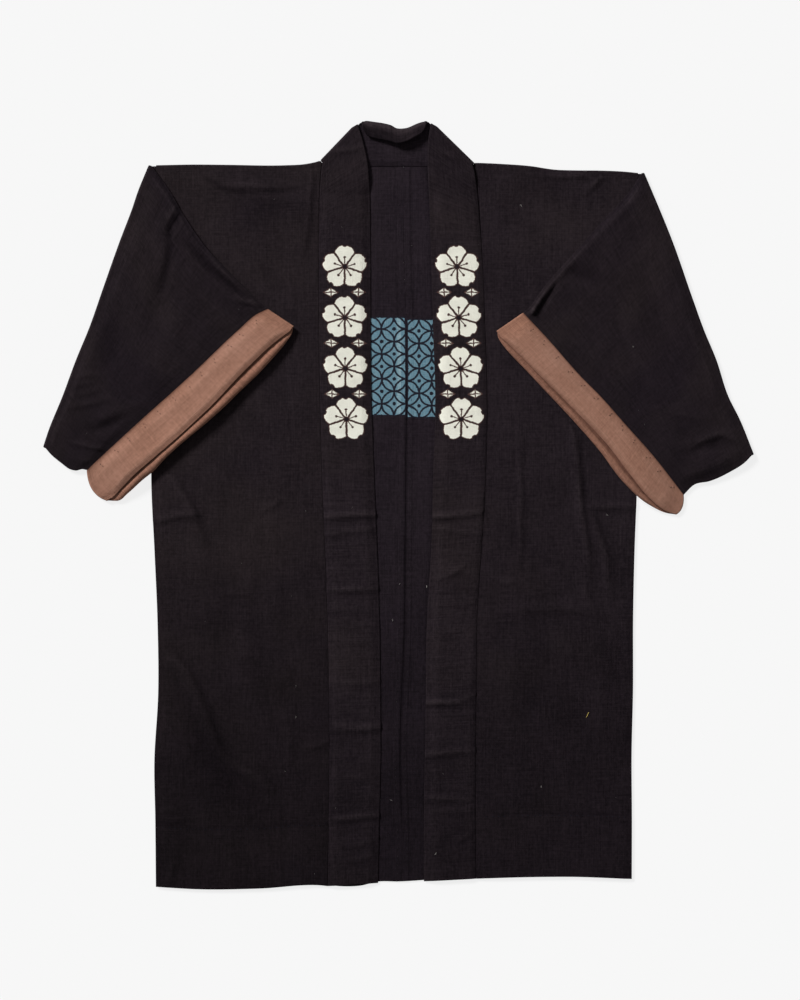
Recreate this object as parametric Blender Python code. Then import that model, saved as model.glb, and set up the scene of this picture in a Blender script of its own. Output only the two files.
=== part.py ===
"""A happi coat laid flat on its back panels, front up, with both sleeves turned over the fronts.

The tables are in millimetres. X runs to the wearer's left, Y towards the neck, and Z up from the surface that
the coat lies on. Every cloth is described flat first: a place on the cloth, and a height h through its layers,
where h = 0 is the face that ends up outside. A fold then turns the stack over about its own line, so two faces
of one cloth never cross. Right and left are the wearer's.
"""

import math
from collections import namedtuple

import bpy
import numpy as np

MM = 0.001  # the tables' millimetres in metres

# Cloth
CLOTH = 1.2  # one layer
SLACK = 0.6  # air between the two layers of a panel or a sleeve
SEAM = 0.3  # gap between two pieces at a seam
STACK = 2 * CLOTH + SLACK
CUFF_PROUD = 0.4  # how far a cuff stands out from its sleeve
CUFF_SEAM = 0.4  # gap between a cuff and its sleeve
SWELL_START = 0.9  # the lower end of a cuff bulges from this share of its width on
BAND = 3.0  # the collar, a doubled strip pressed flat

# Heights of the folds: each is the height of the line that the cloth turns about
SHOULDER_TURN = STACK / 2
SLEEVE_TURN = 3.8
MITRE_TURN = BAND + SEAM
ROLL_TURN = 4.0

# Lengths along the coat
TOP_Y = 424.0  # first and last rows of the station tables
HEM_Y = -473.0
NECK_Y = 421.9  # back neck seam
BACK_HEM_SHORT = 1.5  # the back's hem lies this far inside the front's

COLLAR_LOW = CLOTH + SEAM  # underside of the collar where it lies on the back panel
COLLAR_DESCENT = (386.0, 412.0)  # the collar comes down from its mitre between these two Y
SLEEVE_DROOP = 50.0  # a sleeve beyond the body comes down to the surface over this length

FRONT_ROWS = 26
BACK_ROWS = 9
PANEL_COLUMNS = 10
INNER_BACK = (1.1, 1.25, 1.6, 2.0)  # columns of the back beyond the collar seam, where 2 is the centre seam
SHOULDER_ANGLES = (150, 90, 30)
FOLD_ANGLES = (36, 72, 108, 144)
SLEEVE_FLAT = (0.0, 0.35, 0.7)
SLEEVE_OVER = (0.0, 0.04, 0.1, 0.18, 0.28, 0.4, 0.52, 0.64, 0.76, 0.86, 0.94, 1.0)
CUFF_ROWS = (0.0, 0.3, 0.65, 1.0)
ACROSS = (0, 0.015, 0.035, 0.06, 0.1, 0.16, 0.24, 0.33, 0.42, 0.51, 0.6, 0.69, 0.78, 0.86, 0.93, 0.98, 1)
EDGE_ANGLES = (-60, 0, 60)  # points round each folded edge of a sleeve
COLLAR_FLAT = (0.0, 0.2, 0.4, 0.6, 0.74)  # places across the collar, from its seam to its free edge
COLLAR_ROLLED = (0.805, 0.87, 0.935, 1.0)

# Each body half from the shoulder to the hem: side edge, collar seam and the collar's free edge
Station = namedtuple("Station", "y side seam free")
RIGHT_STATIONS = (
    Station(424, -303.0, -96.0, -38.6),
    Station(393, -304.0, -98.4, -36.4),
    Station(326, -305.0, -99.4, -35.2),
    Station(226, -306.0, -99.6, -34.8),
    Station(131, -307.0, -98.0, -33.6),
    Station(31, -309.0, -95.4, -30.4),
    Station(-57, -304.9, -91.5, -26.8),
    Station(-144, -301.2, -88.6, -23.8),
    Station(-232, -300.4, -86.8, -22.8),
    Station(-319, -305.2, -86.5, -22.4),
    Station(-389, -304.0, -87.2, -24.1),
    Station(-473, -303.2, -88.6, -25.6),
)
LEFT_STATIONS = (
    Station(424, 299.5, 94.2, 36.0),
    Station(393, 299.3, 99.0, 38.0),
    Station(326, 299.0, 103.8, 40.4),
    Station(226, 298.5, 108.2, 43.1),
    Station(131, 298.5, 111.2, 46.2),
    Station(31, 298.2, 109.2, 43.4),
    Station(-57, 295.1, 104.2, 41.2),
    Station(-144, 293.3, 98.6, 35.8),
    Station(-232, 293.2, 97.4, 34.4),
    Station(-319, 291.4, 96.6, 33.2),
    Station(-389, 291.8, 96.4, 32.0),
    Station(-473, 291.6, 97.2, 31.9),
)

# Lines that run along the coat or across it
Point = namedtuple("Point", "x y")
CENTRE_SEAM = (
    Point(5.8, 424),
    Point(6.8, 320),
    Point(9.8, 230),
    Point(10.2, 130),
    Point(9.2, 50),
    Point(8.9, 0),
    Point(8.2, -60),
    Point(8.2, -105),
    Point(7.5, -150),
    Point(5.3, -208),
    Point(3.3, -256),
    Point(2.1, -315),
    Point(2.9, -360),
    Point(4.3, -390),
    Point(4.6, -473),
)
SHOULDER = (
    Point(-303, 422.9),
    Point(-255, 423.8),
    Point(-218, 423.5),
    Point(-139, 423.0),
    Point(-120, 424.0),
    Point(-104, 426.4),
    Point(-98, 426.8),
    Point(-92, 424.4),
    Point(-86, 422.2),
    Point(-80, NECK_Y),
    Point(-60, NECK_Y),
    Point(60, NECK_Y),
    Point(78, NECK_Y),
    Point(87, 423.0),
    Point(94, 424.8),
    Point(101, 425.8),
    Point(110, 425.5),
    Point(132, 424.4),
    Point(164, 422.0),
    Point(196, 417.4),
    Point(223, 416.5),
    Point(255, 416.2),
    Point(284, 414.8),
    Point(299, 413.3),
)
HEM = (
    Point(-304, -478.0),
    Point(-248, -481.0),
    Point(-173, -480.0),
    Point(-98, -476.1),
    Point(-73, -479.0),
    Point(-48, -478.4),
    Point(-25, -473.2),
    Point(0, -473.1),
    Point(30, -471.4),
    Point(60, -469.3),
    Point(102, -467.7),
    Point(152, -466.0),
    Point(227, -465.6),
    Point(292, -468.2),
)

# A sleeve: side is -1 on the wearer's right. The outline is the slanting fold; shoulder and bottom are the two
# folded edges of the part that lies over the front; cuff_line is the seam of the cuff, and near is the lip of
# the mouth that shows. The lip beneath it reaches further, by the lap at each b, which runs from 0 at the
# shoulder edge to 1 at the bottom. under_y is the bottom edge of the part that lies flat, and swell is how far
# the lower end of the cuff bulges.
Lap = namedtuple("Lap", "b reach")
Sleeve = namedtuple("Sleeve", "side outline shoulder bottom cuff_line near lap under_y swell")
RIGHT_SLEEVE = Sleeve(
    side=-1,
    outline=(
        Point(-312.8, 423.0),
        Point(-326.0, 390.6),
        Point(-332.9, 370.0),
        Point(-347.9, 330.6),
        Point(-369.2, 270.6),
        Point(-386.2, 222.0),
        Point(-403.2, 180.6),
        Point(-419.9, 135.6),
        Point(-438.0, 91.0),
        Point(-443.9, 73.0),
    ),
    shoulder=(
        Point(-288.0, 393.0),
        Point(-269.4, 361.0),
        Point(-239.4, 318.0),
        Point(-216.0, 293.0),
        Point(-179.4, 257.0),
        Point(-165.0, 243.6),
    ),
    bottom=(
        Point(-433.0, 63.3),
        Point(-421.0, 53.4),
        Point(-409.0, 45.0),
        Point(-401.0, 43.4),
        Point(-395.0, 45.0),
        Point(-388.4, 43.8),
    ),
    cuff_line=(
        Point(-165.0, 243.6),
        Point(-176.0, 238.5),
        Point(-200.6, 217.5),
        Point(-260.0, 161.0),
        Point(-330.0, 98.0),
        Point(-388.4, 43.8),
    ),
    near=(
        Point(-129.8, 220.0),
        Point(-154.4, 201.9),
        Point(-190.6, 168.1),
        Point(-230.6, 125.6),
        Point(-270.6, 87.8),
        Point(-304.0, 58.8),
        Point(-331.0, 35.5),
        Point(-347.0, 19.0),
        Point(-360.0, 4.6),
    ),
    lap=(
        Lap(0.0, 0.5),
        Lap(0.05, 7.0),
        Lap(0.2, 14.5),
        Lap(0.36, 13.0),
        Lap(0.5, 11.0),
        Lap(0.66, 8.8),
        Lap(0.74, 10.0),
        Lap(0.79, 12.0),
        Lap(0.85, 11.4),
        Lap(0.93, 9.8),
        Lap(0.98, 6.6),
        Lap(1.0, 0.8),
    ),
    under_y=69.0,
    swell=9.0,
)
LEFT_SLEEVE = Sleeve(
    side=1,
    outline=(
        Point(307.6, 413.6),
        Point(317.4, 390.6),
        Point(342.0, 330.6),
        Point(368.4, 255.6),
        Point(381.6, 219.0),
        Point(397.5, 180.6),
        Point(412.2, 135.6),
        Point(427.0, 105.6),
        Point(443.9, 63.8),
    ),
    shoulder=(
        Point(288.8, 389.0),
        Point(258.0, 355.3),
        Point(231.9, 325.8),
        Point(213.5, 305.5),
        Point(192.5, 281.9),
        Point(177.8, 263.8),
        Point(165.5, 246.0),
        Point(157.0, 238.5),
    ),
    bottom=(
        Point(434.0, 55.5),
        Point(413.0, 41.6),
        Point(388.1, 30.4),
        Point(370.0, 26.5),
        Point(356.0, 13.5),
    ),
    cuff_line=(
        Point(157.0, 238.5),
        Point(185.6, 208.1),
        Point(225.6, 162.5),
        Point(254.4, 133.1),
        Point(281.9, 101.9),
        Point(314.4, 65.6),
        Point(356.0, 13.5),
    ),
    near=(
        Point(121.6, 214.0),
        Point(139.4, 198.1),
        Point(161.9, 175.6),
        Point(198.1, 139.4),
        Point(229.4, 108.1),
        Point(261.9, 73.1),
        Point(289.4, 36.9),
        Point(316.0, 5.5),
        Point(331.6, -6.8),
        Point(344.6, -12.4),
    ),
    lap=(
        Lap(0.0, 0.5),
        Lap(0.05, 5.0),
        Lap(0.2, 7.5),
        Lap(0.4, 9.5),
        Lap(0.6, 12.0),
        Lap(0.75, 12.5),
        Lap(0.87, 8.0),
        Lap(0.95, 3.0),
        Lap(1.0, 0.8),
    ),
    under_y=62.0,
    swell=4.8,
)

# The collar's rows that fan round each neck point, from the mitre down to the first level row
Fan = namedtuple("Fan", "seam_x seam_y free_x free_y")
RIGHT_MITRE = Fan(-95.2, 428.3, -50.8, 474.6)
RIGHT_FAN = (
    Fan(-96.2, 419.0, -48.0, 466.5),
    Fan(-97.2, 407.0, -43.4, 450.5),
    Fan(-98.4, 389.0, -38.0, 424.0),
    Fan(-98.9, 362.0, -35.8, 384.0),
)
LEFT_MITRE = Fan(92.6, 424.7, 40.4, 475.7)
LEFT_FAN = (
    Fan(95.2, 415.0, 38.6, 466.5),
    Fan(97.0, 404.0, 37.0, 449.5),
    Fan(99.1, 388.0, 36.6, 422.0),
    Fan(101.3, 360.0, 38.6, 382.0),
)
FAN_ROWS = 3  # rows of a front that are level with the fan

# The collar behind the neck: it lies on the surface up to its crest, where its free edge rolls forward
Roll = namedtuple("Roll", "seam_x crest_x crest_y angle flap")
COLLAR_BACK = (
    Roll(-80, -49.7, 475.5, 5, 0),
    Roll(-66, -48.3, 476.8, 10, 0),
    Roll(-54, -46.4, 478.0, 70, 0),
    Roll(-46, -43.8, 479.0, 150, 8),
    Roll(-38, -38.8, 479.5, 180, 15),
    Roll(-28, -30.5, 478.4, 180, 17),
    Roll(-18, -20.0, 477.0, 178, 18),
    Roll(-8, -9.5, 474.4, 172, 18),
    Roll(0, -1.5, 470.2, 166, 17),
    Roll(10, 10.5, 470.8, 162, 16),
    Roll(20, 21.5, 475.4, 162, 15),
    Roll(29, 28.6, 478.0, 166, 12),
    Roll(37, 33.0, 479.2, 150, 6),
    Roll(48, 36.0, 479.0, 70, 0),
    Roll(61, 38.2, 477.6, 10, 0),
    Roll(76, 39.4, 476.4, 5, 0),
)

# The largest creases: a ridge, or with a negative height a trough, along a line of two or three points
Crease = namedtuple("Crease", "height width start middle end")
FRONT_CREASES = (
    Crease(3.4, 13, Point(-280, 26), Point(-257, -13), Point(-244, -60)),
    Crease(3.4, 13, Point(-290, -190), Point(-242, -259), Point(-224, -308)),
    Crease(3.0, 12, Point(-222, -312), Point(-190, -334), Point(-156, -362)),
    Crease(3.4, 11, Point(236, -52), Point(228, 0), Point(222, 62)),
    Crease(2.4, 11, Point(262, -96), Point(258, -61), Point(245, -22)),
    Crease(1.8, 12, Point(146, -131), Point(194, -129), Point(242, -134)),
)
SLEEVE_CREASES = (
    Crease(2.4, 11, Point(-272, 362), Point(-236, 314), Point(-188, 266)),
    Crease(2.6, 11, Point(-286, 386), Point(-281, 362), Point(-293, 334)),
    Crease(2.2, 14, Point(-304, 270), Point(-297, 306), Point(-293, 340)),
    Crease(2.0, 13, Point(-382, 99), Point(-361, 109), Point(-340, 118)),
    Crease(2.6, 9, Point(176, 247), Point(205, 284), Point(250, 340)),
    Crease(1.8, 14, Point(362, 84), Point(384, 92), Point(406, 94)),
    Crease(6.0, 21, Point(-348, 24), Point(-240, 103), Point(-136, 208)),
    Crease(3.4, 19, Point(146, 208), Point(250, 98), Point(327, 13)),
)
COLLAR_CREASES = (
    Crease(1.9, 9, Point(-98, -17), Point(-64, -14), Point(-30, -13)),
    Crease(1.6, 9, Point(-84, -281), Point(-56, -281), Point(-25, -279)),
    Crease(2.6, 9, Point(106, -10), Point(74, -14), Point(43, -16)),
    Crease(2.2, 9, Point(95, -240), Point(66, -248), Point(38, -249)),
    Crease(1.9, 9, Point(96, -308), Point(64, -311), Point(35, -314)),
)

MATERIALS = {
    "body": ((0.0152, 0.0126, 0.0137), 0.85),
    "sleeve": ((0.0152, 0.0126, 0.0137), 0.85),
    "collar": ((0.0165, 0.0144, 0.0142), 0.85),
    "cuff": ((0.305, 0.155, 0.112), 0.9),
}


def smooth(knots, values, at):
    """A cubic curve through the values at the knots, straight on beyond both ends."""
    knots = np.asarray(knots, float)
    values = np.asarray(values, float)
    if knots[0] > knots[-1]:
        knots, values = knots[::-1], values[::-1]
    slopes = np.gradient(values, knots, axis=0)
    if at <= knots[0]:
        return values[0] + slopes[0] * (at - knots[0])
    if at >= knots[-1]:
        return values[-1] + slopes[-1] * (at - knots[-1])
    i = min(int(np.searchsorted(knots, at, side="right")) - 1, len(knots) - 2)
    span = knots[i + 1] - knots[i]
    t = (at - knots[i]) / span
    rise = values[i + 1] - values[i]
    bend = slopes[i] * span - rise
    other_bend = slopes[i + 1] * span - rise
    return values[i] + t * rise + t * (1 - t) * ((1 - t) * bend - t * other_bend)


def along(points):
    """A function of 0 to 1 that follows the points by their distance."""
    places = np.array([(p[0], p[1]) for p in points], float)
    steps = np.linalg.norm(np.diff(places, axis=0), axis=1)
    reached = np.concatenate(([0.0], np.cumsum(steps))) / steps.sum()
    return lambda t: smooth(reached, places, t)


def line_y(points, x):
    return float(smooth([p.x for p in points], [p.y for p in points], x))


def station(stations, field, y):
    return float(smooth([s.y for s in stations], [getattr(s, field) for s in stations], y))


def mix(a, b, t):
    return a + (b - a) * t


def ease(t):
    t = min(max(t, 0.0), 1.0)
    return t * t * (3 - 2 * t)


def crease_height(creases, x, y):
    """The sum of soft ridges, each fading out at both ends."""
    total = 0.0
    for crease in creases:
        reach = 3 * crease.width
        points = (crease.start, crease.middle, crease.end)
        xs = [p.x for p in points]
        ys = [p.y for p in points]
        if not (min(xs) - reach < x < max(xs) + reach and min(ys) - reach < y < max(ys) + reach):
            continue
        curve = along(points)
        steps = np.linspace(0, 1, 25)
        distances = [float(np.hypot(*(curve(t) - (x, y)))) for t in steps]
        nearest = int(np.argmin(distances))
        fade = math.sin(math.pi * (0.12 + 0.76 * steps[nearest]))
        total += crease.height * fade * math.exp(-((distances[nearest] / crease.width) ** 2))
    return total


def fold(distance, h, turn, radius, angle):
    """Where a point goes when its strip is rolled up through an angle: how far out, and how high.

    distance counts along the strip's middle, of the given radius, from where the turn starts; turn is the
    height that it turns about.
    """
    swing = min(max(distance / radius, 0.0), angle)
    rest = distance - swing * radius
    out = (turn - h) * math.sin(swing) + rest * math.cos(swing)
    up = turn - (turn - h) * math.cos(swing) + rest * math.sin(swing)
    return out, up


def cloth_object(name, place, rows, columns, keep=None, ring=False, material="body"):
    """One closed body from place(row, column, face), where face 0 is the cloth's outside and 1 its inside."""
    last = columns if ring else columns - 1

    def kept(i, j):
        if ring:
            j %= columns
        inside = 0 <= i < rows - 1 and 0 <= j < last
        return inside and (keep is None or keep(i, j))

    points = []
    numbers = {}

    def vertex(i, j, face):
        key = (i, j % columns if ring else j, face)
        if key not in numbers:
            numbers[key] = len(points)
            points.append([v * MM for v in place(*key)])
        return numbers[key]

    triangles = []

    def quad(a, b, c, d):
        triangles.append((a, b, c))
        triangles.append((a, c, d))

    for i in range(rows - 1):
        for j in range(last):
            if not kept(i, j):
                continue
            corners = ((i, j), (i + 1, j), (i + 1, j + 1), (i, j + 1))
            outer = [vertex(*corner, 0) for corner in corners]
            inner = [vertex(*corner, 1) for corner in corners]
            quad(*outer)
            triangles.append((inner[0], inner[2], inner[1]))
            triangles.append((inner[0], inner[3], inner[2]))
            neighbours = ((i, j - 1), (i + 1, j), (i, j + 1), (i - 1, j))
            for k, neighbour in enumerate(neighbours):
                if not kept(*neighbour):
                    m = (k + 1) % 4
                    quad(outer[m], outer[k], inner[k], inner[m])
    mesh = bpy.data.meshes.new(name)
    mesh.from_pydata(points, [], triangles)
    if signed_volume(points, triangles) < 0:
        mesh.flip_normals()
    mesh.update()
    mesh.shade_smooth()
    mesh.set_sharp_from_angle(angle=math.radians(50))
    mesh.materials.append(cloth_material(material))
    piece = bpy.data.objects.new(name, mesh)
    bpy.context.scene.collection.objects.link(piece)
    return piece


def signed_volume(points, triangles):
    corners = np.array(points)[np.array(triangles)]
    return float(np.einsum("ij,ij->i", corners[:, 0], np.cross(corners[:, 1], corners[:, 2])).sum() / 6)


def cloth_material(name):
    material = bpy.data.materials.get(name)
    if material is None:
        material = bpy.data.materials.new(name)
        material.use_nodes = True
        color, roughness = MATERIALS[name]
        shader = material.node_tree.nodes["Principled BSDF"]
        shader.inputs["Base Color"].default_value = (*color, 1.0)
        shader.inputs["Roughness"].default_value = roughness
        shader.inputs["Metallic"].default_value = 0.0
        material.diffuse_color = (*color, 1.0)
    return material


def centre_x(y):
    return float(smooth([p.y for p in CENTRE_SEAM], [p.x for p in CENTRE_SEAM], y))


def panel_x(stations, side, across, y):
    """Across a body half: 0 is its side edge, 1 the collar seam and 2 the centre back seam."""
    seam = station(stations, "seam", y) + side * SEAM
    if across <= 1:
        return mix(station(stations, "side", y), seam, across)
    return mix(seam, centre_x(y) + side * SEAM / 2, across - 1)


def body_panel(name, stations, side):
    """Front, shoulder fold and back of one half. Rows run from the front hem over the shoulder to the back hem."""
    front = [("front", 1 - i / FRONT_ROWS) for i in range(FRONT_ROWS + 1)]
    turn = [("turn", angle) for angle in SHOULDER_ANGLES]
    back = [("back", i / BACK_ROWS) for i in range(BACK_ROWS + 1)]
    rows = front + turn + back
    across = [j / PANEL_COLUMNS for j in range(PANEL_COLUMNS + 1)]
    across += INNER_BACK
    first_back = len(front) + len(turn)

    def keep(i, j):
        return i >= first_back or j < PANEL_COLUMNS

    def place(i, j, face):
        kind, value = rows[i]
        h = CLOTH * face
        down = 0.0 if kind == "turn" else value
        x = panel_x(stations, side, across[j], mix(TOP_Y, HEM_Y, down))
        shoulder_y = line_y(SHOULDER, x)
        hem_y = line_y(HEM, x)
        if kind == "turn":
            angle = math.radians(value)
            reach = (SHOULDER_TURN - h) * math.sin(angle)
            return x, shoulder_y + reach, SHOULDER_TURN - (SHOULDER_TURN - h) * math.cos(angle)
        if kind == "back":
            return x, mix(shoulder_y, hem_y + BACK_HEM_SHORT, down), h
        y = mix(shoulder_y, hem_y, down)
        return x, y, STACK - h + crease_height(FRONT_CREASES, x, y)

    return cloth_object(name, place, len(rows), len(across), keep)


def sleeve_forms(sleeve, stations):
    """Functions for a sleeve: its flat part, its turned part and its cuff, as plan places."""
    ends = np.array([sleeve.outline[0], sleeve.outline[-1]])
    run = (ends[1] - ends[0]) / np.linalg.norm(ends[1] - ends[0])
    outward = np.array([sleeve.side * -run[1], sleeve.side * run[0]])
    turn_line = along([Point(*(np.array(p) - outward * SLEEVE_TURN)) for p in sleeve.outline])
    start, end = turn_line(0.0), turn_line(1.0)
    shoulder = along([start, *sleeve.shoulder])
    bottom = along([end, *sleeve.bottom])
    cuff_line = along(sleeve.cuff_line)
    near = along(sleeve.near)
    mouth = near(1.0) - near(0.0)
    down_sleeve = np.array([-mouth[1], mouth[0]]) * -sleeve.side / np.linalg.norm(mouth)

    def armhole(b):
        y = mix(start[1], sleeve.under_y, b)
        return np.array([station(stations, "side", y) + sleeve.side * SEAM, y])

    def lap(b):
        """From the near lip to the one beneath it."""
        return down_sleeve * float(smooth([row.b for row in sleeve.lap], [row.reach for row in sleeve.lap], b))

    def over(t, b, layer):
        """The part that lies over the front: t from the fold to the cuff, b from the shoulder edge down."""
        corners = mix(mix(start, end, b), mix(cuff_line(0.0), cuff_line(1.0), b), t)
        place = mix(turn_line(b), cuff_line(b), t) + mix(shoulder(t), bottom(t), b) - corners
        return place + layer * t * t * lap(b)

    def cuff(t, b, layer):
        swell = sleeve.swell * 4 * t * (1 - t) * ease((b - SWELL_START) / (1 - SWELL_START))
        bulge = mouth / np.linalg.norm(mouth) * swell
        return mix(cuff_line(b) + down_sleeve * CUFF_SEAM, near(b), t) + layer * lap(b) + bulge

    return armhole, turn_line, outward, over, cuff


def ring_points(near_outer, near_inner, far_inner, far_outer):
    """The points round a flattened tube: (b, layer, run past the edge, h outside, h inside).

    They run down the far layer, round the bottom edge, up the near layer and round the shoulder edge.
    """
    middle = (near_outer + far_outer) / 2
    outer_radius = (far_outer - near_outer) / 2
    inner_radius = (far_inner - near_inner) / 2
    points = [(b, 1.0, 0.0, 0.0, far_outer, far_inner) for b in ACROSS]
    for edge, angles in ((1.0, EDGE_ANGLES[::-1]), (0.0, EDGE_ANGLES)):
        for angle in angles:
            sine, cosine = math.sin(math.radians(angle)), math.cos(math.radians(angle))
            layer = (1 + sine) / 2
            heights = (middle + outer_radius * sine, middle + inner_radius * sine)
            points.append((edge, layer, outer_radius * cosine, inner_radius * cosine, *heights))
        if edge == 1.0:
            points += [(b, 0.0, 0.0, 0.0, near_outer, near_inner) for b in ACROSS[::-1]]
    return points


def past_edge(plan, b, run):
    """A plan place, moved on by run past the edge that b is on."""
    place = plan(b)
    if run == 0:
        return place
    inner = plan(0.02 if b == 0 else 0.98)
    direction = place - inner
    return place + direction / np.linalg.norm(direction) * run


def droop(sleeve, stations, x, y):
    """0 over the coat, 1 where a turned sleeve has come down to the surface beside it."""
    below = (sleeve.under_y - y) / SLEEVE_DROOP
    beyond = (x - station(stations, "side", y)) * sleeve.side / SLEEVE_DROOP
    return ease(below) * ease(beyond)


def turned_height(sleeve, stations, place, h, t):
    """The height of a point of the turned part: h through the stack, t from the fold to the mouth."""
    lying = 2 * SLEEVE_TURN - h
    settle = 2 * SLEEVE_TURN - STACK - CUFF_PROUD
    lift = crease_height(SLEEVE_CREASES, *place) * ease(t / 0.12)
    return lying + lift - settle * droop(sleeve, stations, *place)


def sleeve_tube(name, sleeve, stations):
    """Rows run from the armhole to the slanting fold, round it, and over the front to the cuff."""
    armhole, turn_line, outward, over, _ = sleeve_forms(sleeve, stations)
    rows = [("flat", t) for t in SLEEVE_FLAT]
    rows += [("turn", math.radians(angle)) for angle in (0, *FOLD_ANGLES)]
    rows += [("over", t) for t in SLEEVE_OVER]
    ring = ring_points(0.0, CLOTH, CLOTH + SLACK, STACK)

    def place(i, j, face):
        kind, value = rows[i]
        b, layer, outer_run, inner_run, outer_h, inner_h = ring[j]
        run = inner_run if face else outer_run
        h = inner_h if face else outer_h
        if kind == "flat":
            x, y = past_edge(lambda at: mix(armhole(at), turn_line(at), value), b, run)
            return x, y, h
        if kind == "turn":
            reach = (SLEEVE_TURN - h) * math.sin(value)
            x, y = past_edge(turn_line, b, run) + outward * reach
            return x, y, SLEEVE_TURN - (SLEEVE_TURN - h) * math.cos(value)
        spot = past_edge(lambda at: over(value, at, layer), b, run)
        return (*spot, turned_height(sleeve, stations, spot, h, value))

    return cloth_object(name, place, len(rows), len(ring), ring=True, material="sleeve")


def cuff_ring(name, sleeve, stations):
    cuff = sleeve_forms(sleeve, stations)[-1]
    inner = CLOTH + CUFF_PROUD / 4
    ring = ring_points(-CUFF_PROUD, inner, STACK - inner, STACK + CUFF_PROUD)

    def place(i, j, face):
        b, layer, outer_run, inner_run, outer_h, inner_h = ring[j]
        run = inner_run if face else outer_run
        spot = past_edge(lambda at: cuff(CUFF_ROWS[i], at, layer), b, run)
        return (*spot, turned_height(sleeve, stations, spot, inner_h if face else outer_h, 1.0))

    return cloth_object(name, place, len(CUFF_ROWS), len(ring), ring=True, material="cuff")


def band_rows(stations, side, fan):
    """One front band of the collar, as rows from its seam to its free edge: the fan, then level with the front's."""
    rows = list(fan)
    for i in range(FAN_ROWS, FRONT_ROWS + 1):
        down = i / FRONT_ROWS
        y = mix(TOP_Y, HEM_Y, down)
        seam = station(stations, "seam", y)
        free = station(stations, "free", y)
        edge = seam + side * SEAM
        seam_y = mix(line_y(SHOULDER, edge), line_y(HEM, edge), down)
        rows.append(Fan(seam, seam_y, free, mix(NECK_Y, line_y(HEM, free), down)))
    return rows


def collar_strip(name):
    """Rows run from the right hem up to the neck, round the back of the neck and down to the left hem."""
    right_band = [("band", row, None) for row in band_rows(RIGHT_STATIONS, -1, RIGHT_FAN)]
    left_band = [("band", row, None) for row in band_rows(LEFT_STATIONS, 1, LEFT_FAN)]
    angles = (0, *FOLD_ANGLES, 180)
    right_mitre = [("mitre", RIGHT_MITRE, math.radians(angle)) for angle in angles]
    left_mitre = [("mitre", LEFT_MITRE, math.radians(angle)) for angle in angles]
    behind = [("back", row, None) for row in COLLAR_BACK]
    rows = right_band[::-1] + right_mitre[::-1] + behind + left_mitre + left_band
    columns = COLLAR_FLAT + COLLAR_ROLLED

    def place(i, j, face):
        kind, row, angle = rows[i]
        h = BAND * face
        if kind == "back":
            return rolled_place(row, j, h)
        seam = np.array([row.seam_x, row.seam_y])
        free = np.array([row.free_x, row.free_y])
        x, y = mix(seam, free, columns[j])
        if kind == "mitre":
            run = (free - seam) / np.linalg.norm(free - seam)
            side = math.copysign(1.0, row.seam_x)
            outward = np.array([run[1], -run[0]]) * side
            x, y = (x, y) + outward * (MITRE_TURN - h) * math.sin(angle)
            return x, y, MITRE_TURN - (MITRE_TURN - h) * math.cos(angle)
        raised = 2 * MITRE_TURN - BAND
        low = mix(COLLAR_LOW, raised, ease((y - COLLAR_DESCENT[0]) / (COLLAR_DESCENT[1] - COLLAR_DESCENT[0])))
        return x, y, low + BAND - h + crease_height(COLLAR_CREASES, x, y)

    return cloth_object(name, place, len(rows), len(columns), material="collar")


def rolled_place(row, j, h):
    """A point of the collar behind the neck, flat as far as its crest and then rolled forward."""
    seam = np.array([row.seam_x, NECK_Y + SEAM])
    crest = np.array([row.crest_x, row.crest_y])
    length = np.linalg.norm(crest - seam)
    run = (crest - seam) / length
    flat = length - ROLL_TURN
    if j < len(COLLAR_FLAT):
        x, y = seam + run * flat * COLLAR_FLAT[j] / COLLAR_FLAT[-1]
        return x, y, h
    angle = math.radians(row.angle)
    radius = ROLL_TURN - BAND / 2
    rolled = max(angle * radius + row.flap, ROLL_TURN)
    share = (COLLAR_ROLLED[j - len(COLLAR_FLAT)] - COLLAR_FLAT[-1]) / (1 - COLLAR_FLAT[-1])
    out, up = fold(rolled * share, h, ROLL_TURN, radius, angle)
    x, y = seam + run * (flat + out)
    return x, y, up


def clear_scene():
    for item in list(bpy.context.scene.objects):
        bpy.data.objects.remove(item, do_unlink=True)


clear_scene()
body_panel("body_right", RIGHT_STATIONS, -1)
body_panel("body_left", LEFT_STATIONS, 1)
sleeve_tube("sleeve_right", RIGHT_SLEEVE, RIGHT_STATIONS)
sleeve_tube("sleeve_left", LEFT_SLEEVE, LEFT_STATIONS)
cuff_ring("cuff_right", RIGHT_SLEEVE, RIGHT_STATIONS)
cuff_ring("cuff_left", LEFT_SLEEVE, LEFT_STATIONS)
collar_strip("collar")
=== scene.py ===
"""The looks of a happi coat laid flat: cloth as fine shells on the frame's forms, creases, dye and sewing.

The tables are in millimetres. X runs to the wearer's left, Y towards the neck, and Z up from the surface
that the coat lies on. As in the frame, a place on a cloth is described flat, with a height h through its
layers, where h = 0 is the face that ends up outside, and a fold turns the stack over about its own line.
"""

import math
from collections import namedtuple

import bpy
import numpy as np
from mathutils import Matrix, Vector
from mathutils.bvhtree import BVHTree


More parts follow.
